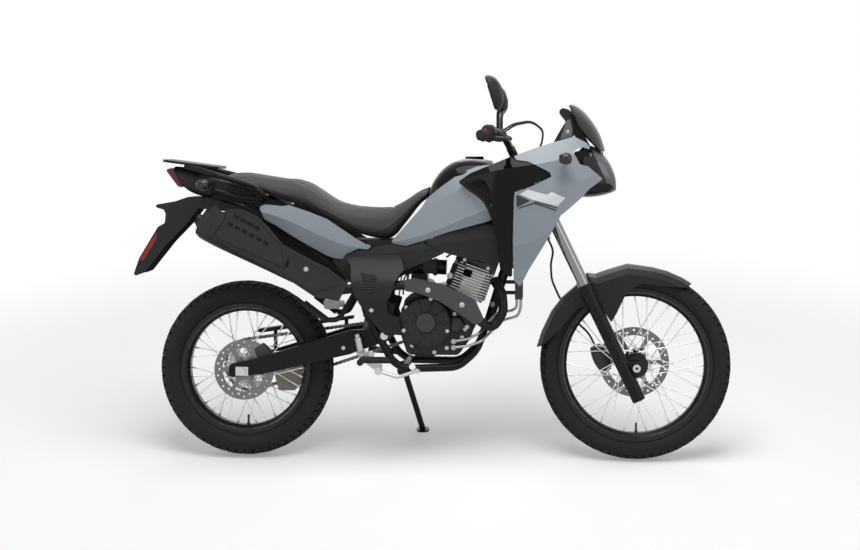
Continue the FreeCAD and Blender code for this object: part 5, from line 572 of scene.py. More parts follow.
output_shaft = midplane(0.436, 0.362)
rear_pitch = chain_pitch / (2 * math.sin(math.pi / rear_teeth))
front_pitch = chain_pitch / (2 * math.sin(math.pi / front_teeth))
reach = output_shaft - rear_axle
slope = math.atan2(reach.z, reach.x)
opening = math.acos((rear_pitch - front_pitch) / reach.length)
route = []
arc_steps = 40
for centre, radius, start, end in (
    (output_shaft, front_pitch, slope + opening, slope - opening),
    (rear_axle, rear_pitch, slope - opening, slope + opening - 2 * math.pi),
):
    for i in range(arc_steps + 1):
        t = start + (end - start) * i / arc_steps
        route.append(centre + Vector((radius * math.cos(t), chain_line, radius * math.sin(t))))
length = sum((b - a).length for a, b in zip(route, route[1:] + route[:1]))
link_count = 2 * round(length / chain_pitch / 2)
chain_tree, given = new_tree("chain links", (
    ("Links", "Int", 100), ("Plate length", "Float", 0.022), ("Plate height", "Float", 0.013),
))
loop_curve = add(chain_tree, "GeometryNodeMeshToCurve", {"Mesh": given["Geometry"]})
spaced = add(chain_tree, "GeometryNodeCurveToPoints", {"Curve": loop_curve, "Count": given["Links"]}, mode="COUNT")
along = add(chain_tree, "FunctionNodeAlignRotationToVector", {"Vector": spaced.outputs["Tangent"]}, axis="X")
stretch = {"X": given["Plate length"], "Y": given["Plate height"], "Z": 1.0}
stretch = add(chain_tree, "ShaderNodeCombineXYZ", stretch)
link = add(chain_tree, "GeometryNodeJoinGeometry")


def lay_round(radius, depth, place, scale=None):
    """Adds one round plate or pin to the link, with its axis across the chain."""
    disc = add(chain_tree, "GeometryNodeMeshCylinder", {"Vertices": 10, "Radius": radius, "Depth": depth})
    if scale:
        disc = add(chain_tree, "GeometryNodeTransform", {"Geometry": disc, "Scale": scale})
    across = {"Geometry": disc, "Rotation": (math.pi / 2, 0, 0), "Translation": place}
    feed(chain_tree, link, {"Geometry": add(chain_tree, "GeometryNodeTransform", across)})


for aside in (-0.0048, -0.003, 0.003, 0.0048):
    lay_round(0.5, 0.0014, (0, aside, 0), stretch)
for radius, long in ((0.005, 0.006), (0.0024, 0.0118)):
    lay_round(radius, long, (chain_pitch / 2, 0, 0))
end_tree(chain_tree, given, {"Points": spaced, "Instance": link, "Rotation": along})
mesh = bpy.data.meshes.new("chain route")
mesh.from_pydata([tuple(p) for p in route], [(i, (i + 1) % len(route)) for i in range(len(route))], [])
bm = bmesh.new()
bm.from_mesh(run_tree("chain", mesh, chain_tree, {"Links": link_count, "Material": chain_steel}))
tip = front_pitch - 0.0042
sprocket = []
for tooth in range(front_teeth):
    for part, cut in ((0.0, 0.005), (0.3, 0.005), (0.5, 0.0), (0.8, 0.0)):
        t = 2 * math.pi * (tooth + part) / front_teeth
        sprocket.append((output_shaft.x + (tip - cut) * math.cos(t), output_shaft.z + (tip - cut) * math.sin(t)))
slab(bm, sprocket, chain_line - 0.003, chain_line + 0.003, 0)
lathe(bm, output_shaft + Vector((0, 0.0705, 0)), (0, 1, 0), ((0, 0), (0, 0.014), (0.0155, 0.014), (0.0155, 0)), 24)
chain = from_bmesh("drive_chain", bm, chain_steel, sharp=30)
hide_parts("drive_chain")
dark_plastic = finish("dark grained plastic", (0.021, 0.021, 0.022), 0.5, shine=0.2, grain=1500, depth=0.00006)
dress(dark_plastic, "dark_plastic", "chain_guard")


# Rear shock: a sprung damper upright between the swingarm and the frame, with a dark painted spring.
# Its body is alloy, and it is bolted on through an eye at each end.
dress(finish("grey shock paint", (0.1, 0.1, 0.105), 0.35, metallic=0.5), "steel", "rear_shock")


# Engine: cast alloy cases under black paint with a bare silver barrel and head. The clutch cover has cast ribs
# round its cap, and plated bolts hold every cover.
engine_black = finish("black engine paint", (0.014, 0.014, 0.015), 0.38, shine=0.3, spread=0.4)
dress(engine_black, "engine_black", "crankcase", "engine_covers")
barrel_silver = finish("bare cast barrel", (0.6, 0.6, 0.585), 0.42, metallic=0.8, spread=0.5, grain=900,
                       depth=0.00012)
dress(barrel_silver, "cast_silver", "cylinder")
clutch_centre = midplane(0.472, 0.393)
filter_centre = midplane(0.547, 0.386)
clutch_face = Vector((0, -0.158, 0))
rib_tree, given = new_tree("ribs round a cover", (
    ("Ribs", "Int", 10), ("Start", "Float", 0.044), ("Length", "Float", 0.036), ("Width", "Float", 0.0045),
    ("Height", "Float", 0.005),
))
rib_size = add(rib_tree, "ShaderNodeCombineXYZ", {"X": given["Length"], "Y": given["Height"], "Z": given["Width"]})
rib_middle = reckon(rib_tree, "MULTIPLY_ADD", given["Length"], 0.5, given["Start"])
round_about(rib_tree, given, given["Ribs"], add(rib_tree, "GeometryNodeTransform", {
    "Geometry": add(rib_tree, "GeometryNodeMeshCube", {"Size": rib_size}),
    "Translation": add(rib_tree, "ShaderNodeCombineXYZ", {"X": rib_middle}),
}))
bm = bmesh.new()
bm.from_mesh(run_tree("clutch_ribs", bpy.data.meshes.new("clutch_ribs"), rib_tree, {"Material": engine_black}))
bmesh.ops.translate(bm, vec=clutch_centre + clutch_face, verts=bm.verts)
from_bmesh("clutch_ribs", bm, engine_black, sharp=30)
cap_grey = finish("dark grey cover cap", (0.035, 0.035, 0.036), 0.5, shine=0.4)
build("cover_caps", cap_grey, "engine_black",
      (lathe, clutch_centre + Vector((0, -0.1645, 0)), (0, -1, 0),
       ((0, 0), (0, 0.0345), (0.0022, 0.033), (0.0022, 0.0)), 48),
      (lathe, filter_centre + Vector((0, -0.1415, 0)), (0, -1, 0),
       ((0, 0), (0, 0.021), (0.002, 0.0195), (0.002, 0.0)), 40))


def heads(name, side, radius, spots):
    """Bolts at (x, z) on one side of a CAD node, with their heads straight out."""
    return [(beside(name, x, z, side)[0], (0, side, 0), radius) for x, z in spots]


right_spots = ((0.602, 0.56), (0.593, 0.478), (0.62, 0.42), (0.7, 0.396), (0.745, 0.412), (0.818, 0.488),
               (0.8, 0.45), (0.775, 0.56), (0.69, 0.59))
left_spots = ((0.6, 0.56), (0.64, 0.42), (0.76, 0.405), (0.815, 0.48), (0.79, 0.57))
turns = [math.radians(t) for t in (100, 215, 330)]
filter_spots = [(filter_centre.x + 0.0365 * math.cos(t), filter_centre.z + 0.0365 * math.sin(t)) for t in turns]
bolts("engine_bolts", heads("engine_covers", -1, 0.0072, right_spots) + heads("engine_covers", 1, 0.0072, left_spots)
      + heads("engine_covers", -1, 0.0066, filter_spots))


# Head: a dark cover over the cam gear and the cam chain's housing behind it, cast alloy, bolted to the barrel on a thin
# seam of bare metal. The plug's recess in the fins is a black block of painted shade.
head_dark = finish("dark grey head cover", (0.05, 0.05, 0.049), 0.42, metallic=0.3, shine=0.3, spread=0.4)
cylinder_lean = 20.0


def block(bm, centre, size, turn, round_by):
    """A box with its edges rounded, turned about its own y axis by degrees."""
    part = bmesh.new()
    bmesh.ops.create_cube(part, size=1.0)
    bmesh.ops.scale(part, vec=size, verts=part.verts)
    spin = Matrix.Translation(Vector(centre)) @ Matrix.Rotation(math.radians(turn), 4, "Y")
    bmesh.ops.transform(part, matrix=spin, verts=part.verts)
    join(bm, part, round_by)


build("head_cover", head_dark, "engine_black",
      (block, (0.8515, 0, 0.7195), (0.152, 0.168, 0.054), cylinder_lean, 0.009),
      (block, (0.7735, -0.03, 0.669), (0.048, 0.088, 0.086), cylinder_lean, 0.006))
# Painted shade: a flat black block on the fins, where the hollow round the plug lies in shadow.
build("plug_recess_shade", finish("shadowed recess", (0.006, 0.006, 0.006), 0.8, shine=0.1), "engine_black",
      (block, (0.8185, -0.0822, 0.679), (0.03, 0.005, 0.026), cylinder_lean, 0.0015))
build("head_seam", barrel_silver, "cast_silver",
      (block, (0.842, 0, 0.6935), (0.154, 0.17, 0.0045), cylinder_lean, 0.0015))
head_bolts = [((0.753, -0.0745, 0.669), (0, -1, 0), 0.011)]
t = math.radians(cylinder_lean)
for along in (-0.045, 0.045):
    head_bolts.append(((0.85 + along * math.cos(t), -0.084, 0.712 - along * math.sin(t)), (0, -1, 0), 0.0065))
bolts("head_bolts", head_bolts)


# Intake: a black plastic airbox under the seat, a rubber boot to the throttle body behind the head, and the
# starter motor and cables that fill the space above the gearbox.
def hose(bm, points, radius, sides=10, steps=6):
    """A round tube along a smooth line through the points."""
    points = [Vector(p) for p in points]
    line = []
    ends = [points[0] * 2 - points[1]] + points + [points[-1] * 2 - points[-2]]
    for a, b, c, d in zip(ends, ends[1:], ends[2:], ends[3:]):
        for i in range(steps):
            t = i / steps
            line.append(0.5 * (2 * b + (c - a) * t + (2 * a - 5 * b + 4 * c - d) * t * t
                               + (3 * b - 3 * c + d - a) * t ** 3))
    line.append(points[-1])
    across = (line[1] - line[0]).orthogonal().normalized()
    rings = []
    for i, here in enumerate(line):
        way = (line[min(i + 1, len(line) - 1)] - line[max(i - 1, 0)]).normalized()
        across = (across - way * across.dot(way)).normalized()
        rings.append(ring_at(bm, here, across, way.cross(across), radius, sides))
    join_rings(bm, rings, sides)


airbox = ((0.37, 0.68), (0.37, 0.785), (0.4, 0.797), (0.57, 0.798), (0.605, 0.76), (0.605, 0.68), (0.56, 0.655),
          (0.42, 0.655))
build("airbox", dark_plastic, "dark_plastic", (slab, airbox, -0.086, 0.086, 0.006))
boot = ((0, 0), (0, 0.034), (0.03, 0.03), (0.036, 0.033), (0.046, 0.033), (0.05, 0.026), (0.1, 0.026),
        (0.104, 0.032), (0.114, 0.032), (0.118, 0.027), (0.15, 0.027), (0.15, 0))
starter = ((0, 0), (0, 0.02), (0.006, 0.027), (0.13, 0.027), (0.13, 0.0))
build("throttle_body", engine_black, "engine_black",
      (lathe, (0.588, -0.004, 0.7), (0.99, 0, -0.04), boot, 28),
      (block, (0.68, -0.04, 0.7), (0.05, 0.034, 0.05), 0, 0.004),
      (block, (0.64, 0.0, 0.655), (0.06, 0.08, 0.034), 0, 0.004),
      (lathe, (0.668, -0.07, 0.622), (0, 1, 0), starter, 28),
      (block, (0.66, 0.0, 0.56), (0.07, 0.12, 0.07), 12, 0.01))
build("engine_cables", finish("black cable cover", (0.012, 0.012, 0.012), 0.5, shine=0.3), "rubber",
      (hose, ((0.6, -0.09, 0.64), (0.61, -0.098, 0.69), (0.655, -0.1, 0.735), (0.72, -0.098, 0.765),
              (0.79, -0.094, 0.79)), 0.0042),
      (hose, ((0.585, -0.084, 0.6), (0.59, -0.092, 0.66), (0.63, -0.094, 0.705), (0.69, -0.085, 0.73)), 0.003),
      (hose, ((0.74, -0.06, 0.735), (0.77, -0.075, 0.75), (0.8, -0.08, 0.73), (0.812, -0.078, 0.7)), 0.0034),
      (hose, ((0.56, -0.08, 0.56), (0.575, -0.1, 0.62), (0.585, -0.102, 0.69), (0.62, -0.085, 0.76)), 0.0026))


# Exhaust: a black steel pipe that loops down past the frame and back to the silencer under the tail, with a
# dark plate over the pipe and a slotted guard over the silencer.
dress(finish("black exhaust coating", (0.01, 0.01, 0.01), 0.42, shine=0.2, spread=0.5),
      "engine_black", "exhaust_pipe", "muffler")
guard_grey = finish("dark grey guard", (0.026, 0.026, 0.027), 0.46, shine=0.25, spread=0.15, grain=1500)
dress(guard_grey, "dark_plastic", "muffler_guard")
dress(finish("grey pipe guard", (0.07, 0.071, 0.074), 0.48, shine=0.3, spread=0.15), "dark_plastic", "pipe_guard")
guard_bolts = heads("pipe_guard", -1, 0.0095, ((0.682, 0.626), (0.803, 0.574)))
bolts("guard_bolts", guard_bolts + [((0.255, -0.2567, 0.703), (0, -1, 0), 0.0085)])

slat_tree, given = new_tree("vent slats", (
    ("Depth", "Float", 0.003), ("Height", "Float", 0.005), ("Turn", "Vector", (0, 0, 0)),
))
slat_size = add(slat_tree, "ShaderNodeCombineXYZ", {"X": 1.0, "Y": given["Depth"], "Z": given["Height"]})
end_tree(slat_tree, given, {
    "Points": given["Geometry"], "Instance": add(slat_tree, "GeometryNodeMeshCube", {"Size": slat_size}),
    "Scale": add(slat_tree, "ShaderNodeCombineXYZ", {"X": stored(slat_tree, "span"), "Y": 1.0, "Z": 1.0}),
    "Rotation": given["Turn"],
})
duct_black = finish("black duct", (0.008, 0.008, 0.009), 0.6, shine=0.15)


def slats_at(name, places, material, depth=0.003, height=0.005, turn=0):
    """Slats across an opening, turned about the y axis by degrees: places are (x, y, z, length)."""
    mesh = bpy.data.meshes.new(name)
    mesh.from_pydata([place[:3] for place in places], [], [])
    mesh.attributes.new("span", "FLOAT", "POINT")
    for i, place in enumerate(places):
        mesh.attributes["span"].data[i].value = place[3]
    values = {"Depth": depth, "Height": height, "Turn": (0, math.radians(turn), 0), "Material": material}
    keep(name, run_tree(name, mesh, slat_tree, values), material, smooth=False)


guard_face = 0.2525
guard_plates = (
    ((-0.02, 0.903), (0.056, 0.892), (0.094, 0.862), (0.164, 0.782), (0.176, 0.708), (-0.072, 0.816), (-0.026, 0.874)),
    ((0.196, 0.756), (0.352, 0.68), (0.37, 0.652), (0.283, 0.62), (0.168, 0.694), (0.194, 0.712)),
    ((-0.058, 0.905), (-0.032, 0.905), (-0.04, 0.872), (-0.084, 0.816), (-0.104, 0.824), (-0.07, 0.868)),
)
build("muffler_guard_plates", guard_grey, "dark_plastic",
      *[(slab, outline, -guard_face - 0.004, -guard_face, 0.0012) for outline in guard_plates])
slots = [(0.0061 + 0.0242 * i, 0.8868 - 0.0125 * i, 0.0225) for i in range(4)]
slots += [(-0.0155 + 0.0254 * i, 0.8608 - 0.0132 * i, 0.019) for i in range(6)]
slots = [(x, -guard_face - 0.0042, z, length) for x, z, length in slots]
slats_at("guard_slots", slots, duct_black, 0.0012, 0.0115, 28)
silencer_way = Vector((-0.4817, 0, 0.2399)).normalized()
silencer_end = Vector((-0.114, -0.19, 0.86)) - silencer_way * 0.03
collar = ((0, 0.05), (0, 0.0572), (0.004, 0.058), (0.022, 0.0575), (0.034, 0.05), (0.046, 0.044),
          (0.048, 0.04), (0.044, 0.023), (0.036, 0.0215), (0.02, 0.0215), (0.02, 0.03))
build("silencer_end", finish("grey silencer end", (0.062, 0.062, 0.063), 0.42, metallic=0.4, shine=0.3),
      "engine_black", (lathe, silencer_end, silencer_way, collar, 40))


# Oil cooler: a brazed alloy core with black painted fins, and its two plated lines from the clutch cover.
# It is bolted to a bracket of the downtube.
dress(finish("black cooler paint", (0.03, 0.03, 0.03), 0.45, metallic=0.3), "engine_black", "oil_cooler")
dress(finish("plated oil pipe", (0.36, 0.36, 0.35), 0.36, metallic=1.0, spread=0.4, patches=30), "steel", "oil_lines")


# Tank and painted panels: the steel tank is gloss black, and its sides, the shrouds and the tail panels are
# moulded plastic in a satin blue-grey, clipped and bolted on.
body_paint = finish("satin blue-grey body paint", (0.262, 0.297, 0.334), 0.38, shine=0.45, spread=0.05, grain=3000,
                    depth=0.00001)
feed(body_paint.node_tree, body_paint.node_tree.nodes["Principled BSDF"], {"Coat Weight": 0.15, "Coat Roughness": 0.25})
dress(body_paint, "body_grey", "tank_panels", "shroud_wings", "tail_panels")
gloss_black = finish("gloss black", (0.004, 0.004, 0.005), 0.08, shine=0.14, spread=0.1, depth=0.000004)
dress(gloss_black, "gloss_black", "shroud_vanes", "fuel_tank")
dress(dark_plastic, "dark_plastic", "frame_covers")
stripe_black = finish("black stripe film", (0.01, 0.01, 0.011), 0.3, spread=0.1)
stripe_white = finish("white stripe film", (0.78, 0.79, 0.8), 0.3, spread=0.03)
both_sides = ((-1, "right"), (1, "left"))


def sheet(name, outline, side, reach, thick, material):
    """A thin sheet seen from one side: its outline is (x, z), and reach(x, z) is its outer face's distance across."""
    bm = bmesh.new()
    bm.faces.new([bm.verts.new((x, 0, z)) for x, z in outline])
    step = 0.008
    for values, way in zip(zip(*outline), (Vector((1, 0, 0)), Vector((0, 0, 1)))):
        at = min(values) + step
        while at < max(values):
            geometry = bm.verts[:] + bm.edges[:] + bm.faces[:]
            bmesh.ops.bisect_plane(bm, geom=geometry, plane_co=way * at, plane_no=way, dist=1e-6)
            at += step
    bmesh.ops.triangulate(bm, faces=bm.faces)
    for vert in bm.verts:
        vert.co.y = side * reach(vert.co.x, vert.co.z)
    base = bmesh.ops.extrude_face_region(bm, geom=bm.faces[:])
    moved = [item for item in base["geom"] if isinstance(item, bmesh.types.BMVert)]
    bmesh.ops.translate(bm, vec=(0, -side * thick, 0), verts=moved)
    from_bmesh(name, bm, material)


def films(name, target, outline, material, lift=0.0009, sides=both_sides):
    """A thin film laid on each side of a node."""
    for side, word in sides:
        sheet(f"{name}_{word}", outline, side, lambda x, z: abs(beside(target, x, z, side)[0].y) + lift, 2 * lift,
              material)


stripes = (
    ("stripe_block", stripe_black, ((0.9965, 0.9635), (1.0025, 0.964), (1.0452, 0.9445), (1.0025, 0.9238),
                                    (0.9965, 0.9245))),
    ("stripe_band", stripe_white, ((1.0075, 0.968), (1.0375, 0.984), (1.104, 0.966), (1.121, 0.9755),
                                   (1.17, 0.9545), (1.1415, 0.9255), (1.0522, 0.949))),
    ("stripe_line", stripe_black, ((1.0597, 0.944), (1.1415, 0.9205), (1.1415, 0.917), (1.0582, 0.94))),
    ("stripe_chevron", stripe_black, ((1.0025, 0.9193), (1.0582, 0.9385), (1.135, 0.914), (1.135, 0.9095),
                                      (1.0582, 0.934), (1.006, 0.9163))),
)
for where in both_sides:
    for name, material, outline in stripes:
        films(name, "shroud_wings", outline, material, sides=(where,))
duct = ((0.81, 1.025), (0.87, 1.03), (0.89, 1.02), (0.909, 0.988), (0.91, 0.935), (0.899, 0.919), (0.884, 0.932),
        (0.862, 0.953), (0.836, 0.973), (0.812, 0.996), (0.802, 1.012))
films("duct", "tank_panels", duct, duct_black)


# Side cover vents: six slats across the opening on the left and seven on the right, moulded with the covers
# in dark plastic. The right cover has an outer skin that stands clear of the exhaust pipe, held by one bolt.
slat_grey = finish("side cover slat", (0.04, 0.04, 0.041), 0.5, shine=0.3)


def vent_places(count, top, fall, back, front, reach):
    """Slats down an opening, between edges that are (x at its top, change of x), on a face reach(x, z) across."""
    places = []
    for i in range(count):
        share = (i + 0.5) / count
        z = top - fall * share
        left, right = (at + change * share for at, change in (back, front))
        places.append(((left + right) / 2, reach(left, z), z, right - left))
    return places


places = vent_places(6, 0.659, 0.062, (0.455, 0.012), (0.49, -0.012),
                     lambda x, z: beside("frame_covers", 0.45, z, 1)[0].y - 0.0035)
slats_at("vent_slats_left", places, slat_grey)


def skin_reach(x, z):
    """How far the right cover's skin stands out: it bulges round the exhaust pipe and closes in above and below."""
    rise = min(1.0, max(0.0, (0.752 - z) / 0.115))
    fall = min(1.0, max(0.0, (z - 0.45) / 0.15))
    ease = rise * rise * (3 - 2 * rise) * fall * fall * (3 - 2 * fall)
    return 0.155 + 0.0535 * ease


skin = ((0.3872, 0.7372), (0.405, 0.7037), (0.408, 0.6491), (0.4231, 0.6017), (0.4518, 0.5543), (0.4901, 0.4975),
        (0.511, 0.472), (0.5283, 0.4645), (0.5856, 0.4602), (0.5808, 0.5077), (0.5665, 0.5313), (0.5378, 0.543),
        (0.5355, 0.581), (0.5522, 0.612), (0.5641, 0.6501), (0.58, 0.6787), (0.596, 0.6978), (0.58, 0.745),
        (0.4901, 0.7495))
sheet("side_cover_right", skin, -1, skin_reach, 0.0025, dark_plastic)
vent = ((0.44, 0.6895), (0.502, 0.6735), (0.4877, 0.6116), (0.4662, 0.6186))
sheet("vent_recess_right", vent, -1, lambda x, z: skin_reach(x, z) + 0.0004, 0.0006, duct_black)
places = vent_places(7, 0.6845, 0.068, (0.442, 0.025), (0.5, -0.012), lambda x, z: -skin_reach(x, z) - 0.0002)
slats_at("vent_slats_right", places, slat_grey, 0.0026, 0.0042, 8)
cover_bolts = heads("frame_covers", 1, 0.0085, ((0.505, 0.495), (0.44, 0.705)))
bolts("cover_bolts", cover_bolts + [((0.4805, -skin_reach(0.4805, 0.5545), 0.5545), (0, -1, 0), 0.0085)])


# Rear brake: the master cylinder and its bracket in bare cast alloy, bolted on behind the right peg. The cream
# guide round the chain is moulded nylon, screwed to the swingarm.
cylinder = ((0, 0), (0, 0.0085), (0.012, 0.0085), (0.014, 0.012), (0.062, 0.012), (0.066, 0.008), (0.08, 0.0075),
            (0.08, 0.004), (0.098, 0.004), (0.098, 0))
bracket = ((0.418, 0.398), (0.45, 0.408), (0.492, 0.372), (0.516, 0.352), (0.512, 0.33), (0.486, 0.334),
           (0.436, 0.372))
build("rear_master_cylinder", cast_silver, "cast_silver",
      (lathe, (0.424, -0.15, 0.462), (0.02, 0, -0.09), cylinder, 20),
      (slab, bracket, -0.147, -0.139, 0.002),
      (lathe, (0.474, -0.139, 0.392), (0, -1, 0), ((0, 0), (0, 0.012), (0.014, 0.012), (0.017, 0.009), (0.017, 0)), 20))
guide = ((0.085, 0.3), (0.1, 0.316), (0.15, 0.331), (0.196, 0.33), (0.19, 0.25), (0.165, 0.226), (0.105, 0.226))
build("chain_guide", finish("cream nylon", (0.56, 0.52, 0.42), 0.5, spread=0.15), "dark_plastic",
      (slab, guide, 0.068, 0.0715, 0.001), (slab, guide, 0.0875, 0.091, 0.001))


# Under the seat: the battery tray and the inner mudguard, moulded in black plastic and screwed to the subframe,
# and the pale brake fluid bottle behind the rear brake.
tray = ((-0.146, 1.014), (-0.072, 1.009), (0.02, 0.974), (0.06, 0.945), (0.032, 0.916), (-0.03, 0.93),
        (-0.125, 0.944))
inner_guard = ((0.048, 0.872), (0.179, 0.8), (0.32, 0.707), (0.377, 0.656), (0.377, 0.632), (0.294, 0.677),
               (0.137, 0.768), (0.064, 0.83))
battery = ((0.05, 0.95), (0.085, 0.955), (0.155, 0.925), (0.155, 0.895), (0.06, 0.9))
build("seat_tray", dark_plastic, "dark_plastic", (slab, tray, -0.066, 0.066, 0.004),
      (slab, inner_guard, -0.078, 0.078, 0.004), (slab, battery, -0.092, 0.092, 0.004))
bottle_neck = ((0, 0), (0, 0.012), (0.018, 0.012), (0.02, 0.009), (0.02, 0))
build("brake_fluid_bottle", finish("pale fluid bottle", (0.62, 0.63, 0.62), 0.35, spread=0.1), "dark_plastic",
      (block, (0.33, -0.112, 0.567), (0.06, 0.034, 0.034), -4, 0.005),
      (lathe, (0.354, -0.112, 0.569), (1, 0, -0.05), bottle_neck, 20))


# Seat: a moulded foam pad under one stretched cover of grained vinyl, in two levels. The cover is sewn along
# both sides and stapled under the seat's base.
seat_cover = finish("dark grained seat cover", (0.042, 0.042, 0.044), 0.62, shine=0.35, spread=0.2, grain=650,
                    depth=0.00025)
seat_mesh = node["seat"].data.copy()
seat_mesh.transform(upright)
seat_mesh.materials.clear()
seat_mesh.materials.append(seat_cover)
bm = bmesh.new()
bm.from_mesh(seat_mesh)
bmesh.ops.remove_doubles(bm, verts=bm.verts, dist=1e-5)
bmesh.ops.recalc_face_normals(bm, faces=bm.faces)
bm.to_mesh(seat_mesh)
bm.free()
pad = bpy.data.objects.new("seat_pad", seat_mesh)
scene.collection.objects.link(pad)
bpy.context.view_layer.objects.active = pad


def modify(piece, name, kind, **settings):
    """Runs one modifier on a piece, and keeps what it makes as plain mesh."""
    modifier = piece.modifiers.new(name, kind)
    for label, value in settings.items():
        setattr(modifier, label, value)
    apply_modifiers(piece)


def apply_modifiers(piece):
    """Keeps a piece's modifiers as plain mesh."""
    made = bpy.data.meshes.new_from_object(piece.evaluated_get(bpy.context.evaluated_depsgraph_get()))
    piece.modifiers.clear()
    piece.data = made


modify(pad, "even mesh", "REMESH", mode="VOXEL", voxel_size=0.006)
modify(pad, "smooth", "SMOOTH", factor=0.5, iterations=4)
before = [v.co.copy() for v in pad.data.vertices]
pinned = pad.vertex_groups.new(name="base")
for v in pad.data.vertices:
    if v.normal.z < -0.2:
        pinned.add([v.index], 1.0, "REPLACE")
shrink = pad.modifiers.new("drawn in", "DISPLACE")
shrink.strength = -0.003
shrink.mid_level = 0.0
cloth = pad.modifiers.new("cloth", "CLOTH").settings
cloth.use_pressure = True
cloth.uniform_pressure_force = 4.0
cloth.effector_weights.gravity = 0.0
cloth.vertex_group_mass = "base"
cloth.quality = 5
cloth.tension_stiffness = 15.0
for step in range(1, 21):
    scene.frame_set(step)
    bpy.context.view_layer.update()
apply_modifiers(pad)
scene.frame_set(1)
pad_cap = 0.006
for v, was in zip(pad.data.vertices, before):
    moved = v.co - was
    if moved.length > pad_cap:
        v.co = was + moved.normalized() * pad_cap
modify(pad, "finer", "SUBSURF", levels=1, render_levels=1)
shape = pad.data
bpy.data.objects.remove(pad)
pad_skin = BVHTree.FromPolygons([v.co for v in shape.vertices], [tuple(p.vertices) for p in shape.polygons])
seam_line = ((0.0156, 1.0097), (0.1034, 0.9736), (0.1765, 0.9502), (0.2458, 0.9305), (0.315, 0.8981),
             (0.3659, 0.8693), (0.4168, 0.8406), (0.4676, 0.8281), (0.522, 0.8355), (0.5762, 0.8789), (0.6196, 0.9259))
seams = []
for side in (1, -1):
    path = []
    for x, z in seam_line:
        place = pad_skin.ray_cast(Vector((x, side * 0.5, z)), Vector((0, -side, 0)))[0]
        if place:
            path.append(place + Vector((0, side * 0.0006, 0)))
    seams.append((hose, path, 0.0016, 6, 8))
build("seat_seams", finish("black seam thread", (0.016, 0.016, 0.017), 0.6, shine=0.2), "seat_cover", *seams)
seat_piece = keep("seat_cushion", shape, seat_cover)
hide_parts("seat")


# Tail: the black rack and mudguard, a red lamp in its cowl, a red reflector on each side of the mudguard
# and two indicators on short stalks.
dress(dark_plastic, "dark_plastic", "tail_cowl", "rear_fender")


def lens(name, colour, passed, roughness=0.06):
    """A clear or tinted cover, seen through in part."""
    material = finish(name, colour, roughness, spread=0.05, depth=0.000004)
    tree = material.node_tree
    feed(tree, tree.nodes["Principled BSDF"], {"Transmission Weight": passed, "IOR": 1.45})
    return material


dress(lens("dark red lens", (0.2, 0.005, 0.007), 0.0), "lens_red", "tail_lamp")
reflector_red = lens("red reflector", (0.33, 0.006, 0.006), 0.0, 0.3)
dress(lens("smoked indicator lens", (0.02, 0.018, 0.02), 0.0), "lens_amber", "indicators")
reflector = ((-0.321, 0.824), (-0.327, 0.7921), (-0.371, 0.719), (-0.388, 0.7215), (-0.352, 0.779))
films("reflector", "rear_fender", reflector, reflector_red, lift=0.0015)


# Fork: chromed steel tubes in black alloy legs, clamped above and below the steering head. The mudguard is
# moulded plastic, bolted between the legs.
dress(finish("hard chrome", (0.24, 0.24, 0.245), 0.1, metallic=1.0, spread=0.05, depth=0.000003),
      "chrome", "fork_tubes")
dress(finish("front mudguard plastic", (0.019, 0.019, 0.02), 0.44, shine=0.2, grain=1400),
      "dark_plastic", "front_fender")
dress(finish("brake hose rubber", (0.014, 0.014, 0.014), 0.55), "rubber", "brake_hose", "bar_cables")


# Handlebar: rubber grips pressed on its ends, switch boxes and levers in black, and two mirrors on bent stalks
# that screw into the lever clamps.
dress(finish("black rubber", (0.018, 0.018, 0.018), 0.7, shine=0.3), "rubber", "grips", "foot_pegs")
dress(dark_plastic, "dark_plastic", "controls", "mirrors", "instrument_panel")


# Fairing: the lamp behind a grey polycarbonate lens, black where its housing lies behind, and a dark smoked
# screen above it. Both are moulded, and bolted to the stay in front of the steering head.
clear_lens = lens("grey lamp lens", (0.13, 0.135, 0.137), 0.0)
tree = clear_lens.node_tree
lens_way = (lean.to_3x3() @ Vector((1.0, 0, 0.45))).normalized()
lens_start = lens_way.dot(leant @ Vector((1.322, 0, 1.0)))
place = add(tree, "ShaderNodeTexCoord").outputs["Object"]
ahead = add(tree, "ShaderNodeVectorMath", {0: place, 1: lens_way}, operation="DOT_PRODUCT").outputs["Value"]
ends = {"From Min": lens_start - 0.001, "From Max": lens_start + 0.001, "Value": ahead}
tint = add(tree, "ShaderNodeMix", {
    "Factor": add(tree, "ShaderNodeMapRange", ends).outputs["Result"], "A": (0.008, 0.008, 0.009, 1),
    "B": tree.nodes["uneven"].outputs["Colour"],
}, data_type="RGBA")
feed(tree, tree.nodes["Principled BSDF"], {"Base Color": tint.outputs["Result"]})
dress(clear_lens, "lens_clear", "headlamp")
dress(lens("dark smoked screen", (0.012, 0.012, 0.014), 0.1), "lens_smoke", "windscreen")
dark_inside = finish("black lamp surround", (0.008, 0.008, 0.009), 0.3, shine=0.2)
chin = ((1.236, 0.985), (1.262, 1.0), (1.33, 1.004), (1.344, 0.988), (1.335, 0.972), (1.29, 0.966), (1.245, 0.966))
films("lamp_chin", "headlamp", chin, dark_inside, lift=0.0006)
housing = ((1.203, 1.117), (1.228, 1.1225), (1.262, 1.115), (1.262, 1.045), (1.232, 1.06), (1.203, 1.085))
cowl = ((1.186, 1.27), (1.2045, 1.2457), (1.23, 1.1945), (1.262, 1.138), (1.225, 1.138), (1.204, 1.179))
build("lamp_surround", dark_inside, "dark_plastic", (slab, housing, -0.084, 0.084, 0.004),
      (slab, cowl, -0.055, 0.055, 0.004))
plate = ((1.152, 1.163), (1.176, 1.232), (1.188, 1.236), (1.197, 1.195), (1.193, 1.172))
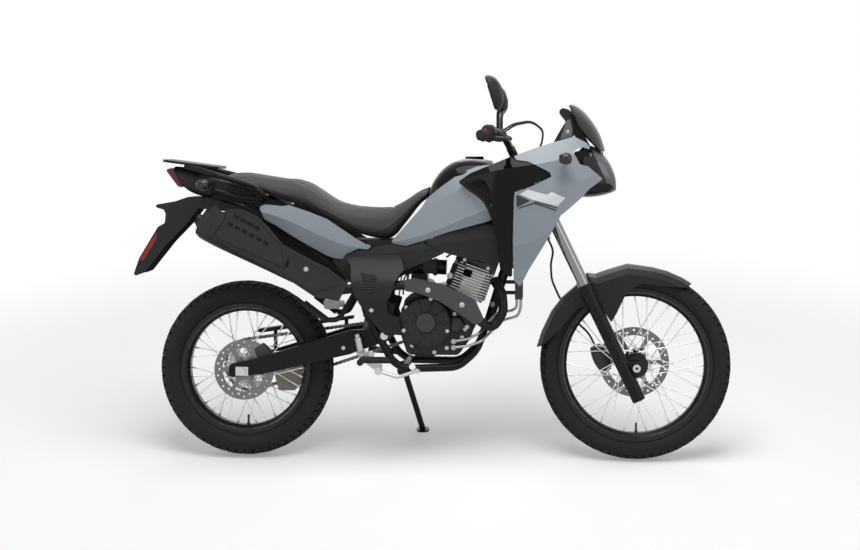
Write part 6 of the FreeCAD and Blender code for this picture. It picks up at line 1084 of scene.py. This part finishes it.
grey_bracket = finish("grey instrument bracket", (0.15, 0.15, 0.152), 0.4, metallic=0.3)
films("instrument_plate", "instrument_panel", plate, grey_bracket)
bolts("fairing_bolts", [((1.18, side * 0.0735, 1.19), (0, side, 0), 0.007) for side in (1, -1)])


# Switch boxes: a round black housing inside each grip, cast in two halves that clamp the bar, with a red
# stop switch on the right one.
box = ((0, 0), (0, 0.02), (0.004, 0.0255), (0.038, 0.0255), (0.042, 0.02), (0.042, 0))
for side, word in both_sides:
    build(f"switch_box_{word}", engine_black, "dark_plastic",
          (lathe, (0.909, side * 0.306, 1.187), (-0.22, side, 0), box, 28),
          (block, (0.878, side * 0.326, 1.168), (0.036, 0.03, 0.026), 20, 0.005), body="steering")
build("stop_switch", finish("red switch", (0.4, 0.012, 0.01), 0.4, spread=0.1), "lens_red",
      (block, (0.893, -0.345, 1.196), (0.012, 0.01, 0.006), -20, 0.0015), body="steering")


# Mirror glasses: silvered glass with rounded corners, set into the back of each mirror head and tilted with it
# towards the rider.
glass = finish("mirror glass", (0.8, 0.81, 0.82), 0.03, metallic=1.0, spread=0.02, depth=0.000002)
mirror_tilt = math.radians(17)
mirror_up = Vector((-math.sin(mirror_tilt), 0, math.cos(mirror_tilt)))
mirror_ahead = Vector((math.cos(mirror_tilt), 0, math.sin(mirror_tilt)))
rim_points = 40
squareness = 3.2
for side, word in both_sides:
    head = Vector((0.927, side * 0.372, 1.3248))
    bm = bmesh.new()
    rings = []
    for depth, size in ((-0.0197, 0.0), (-0.0197, 0.86), (-0.0204, 0.86), (-0.0206, 0.84), (-0.0206, 0.0)):
        ring = []
        for i in range(rim_points if size else 1):
            t = 2 * math.pi * i / rim_points
            c, d = math.cos(t), math.sin(t)
            grow = (abs(c) ** squareness + abs(d) ** squareness) ** (-1 / squareness) * size
            across = Vector((0, 0.058 * c * grow, 0))
            ring.append(bm.verts.new(head + mirror_ahead * depth + across + mirror_up * (0.056 * d * grow)))
        rings.append(ring)
    join_rings(bm, rings, rim_points)
    from_bmesh(f"mirror_glass_{word}", bm, glass, "steering")
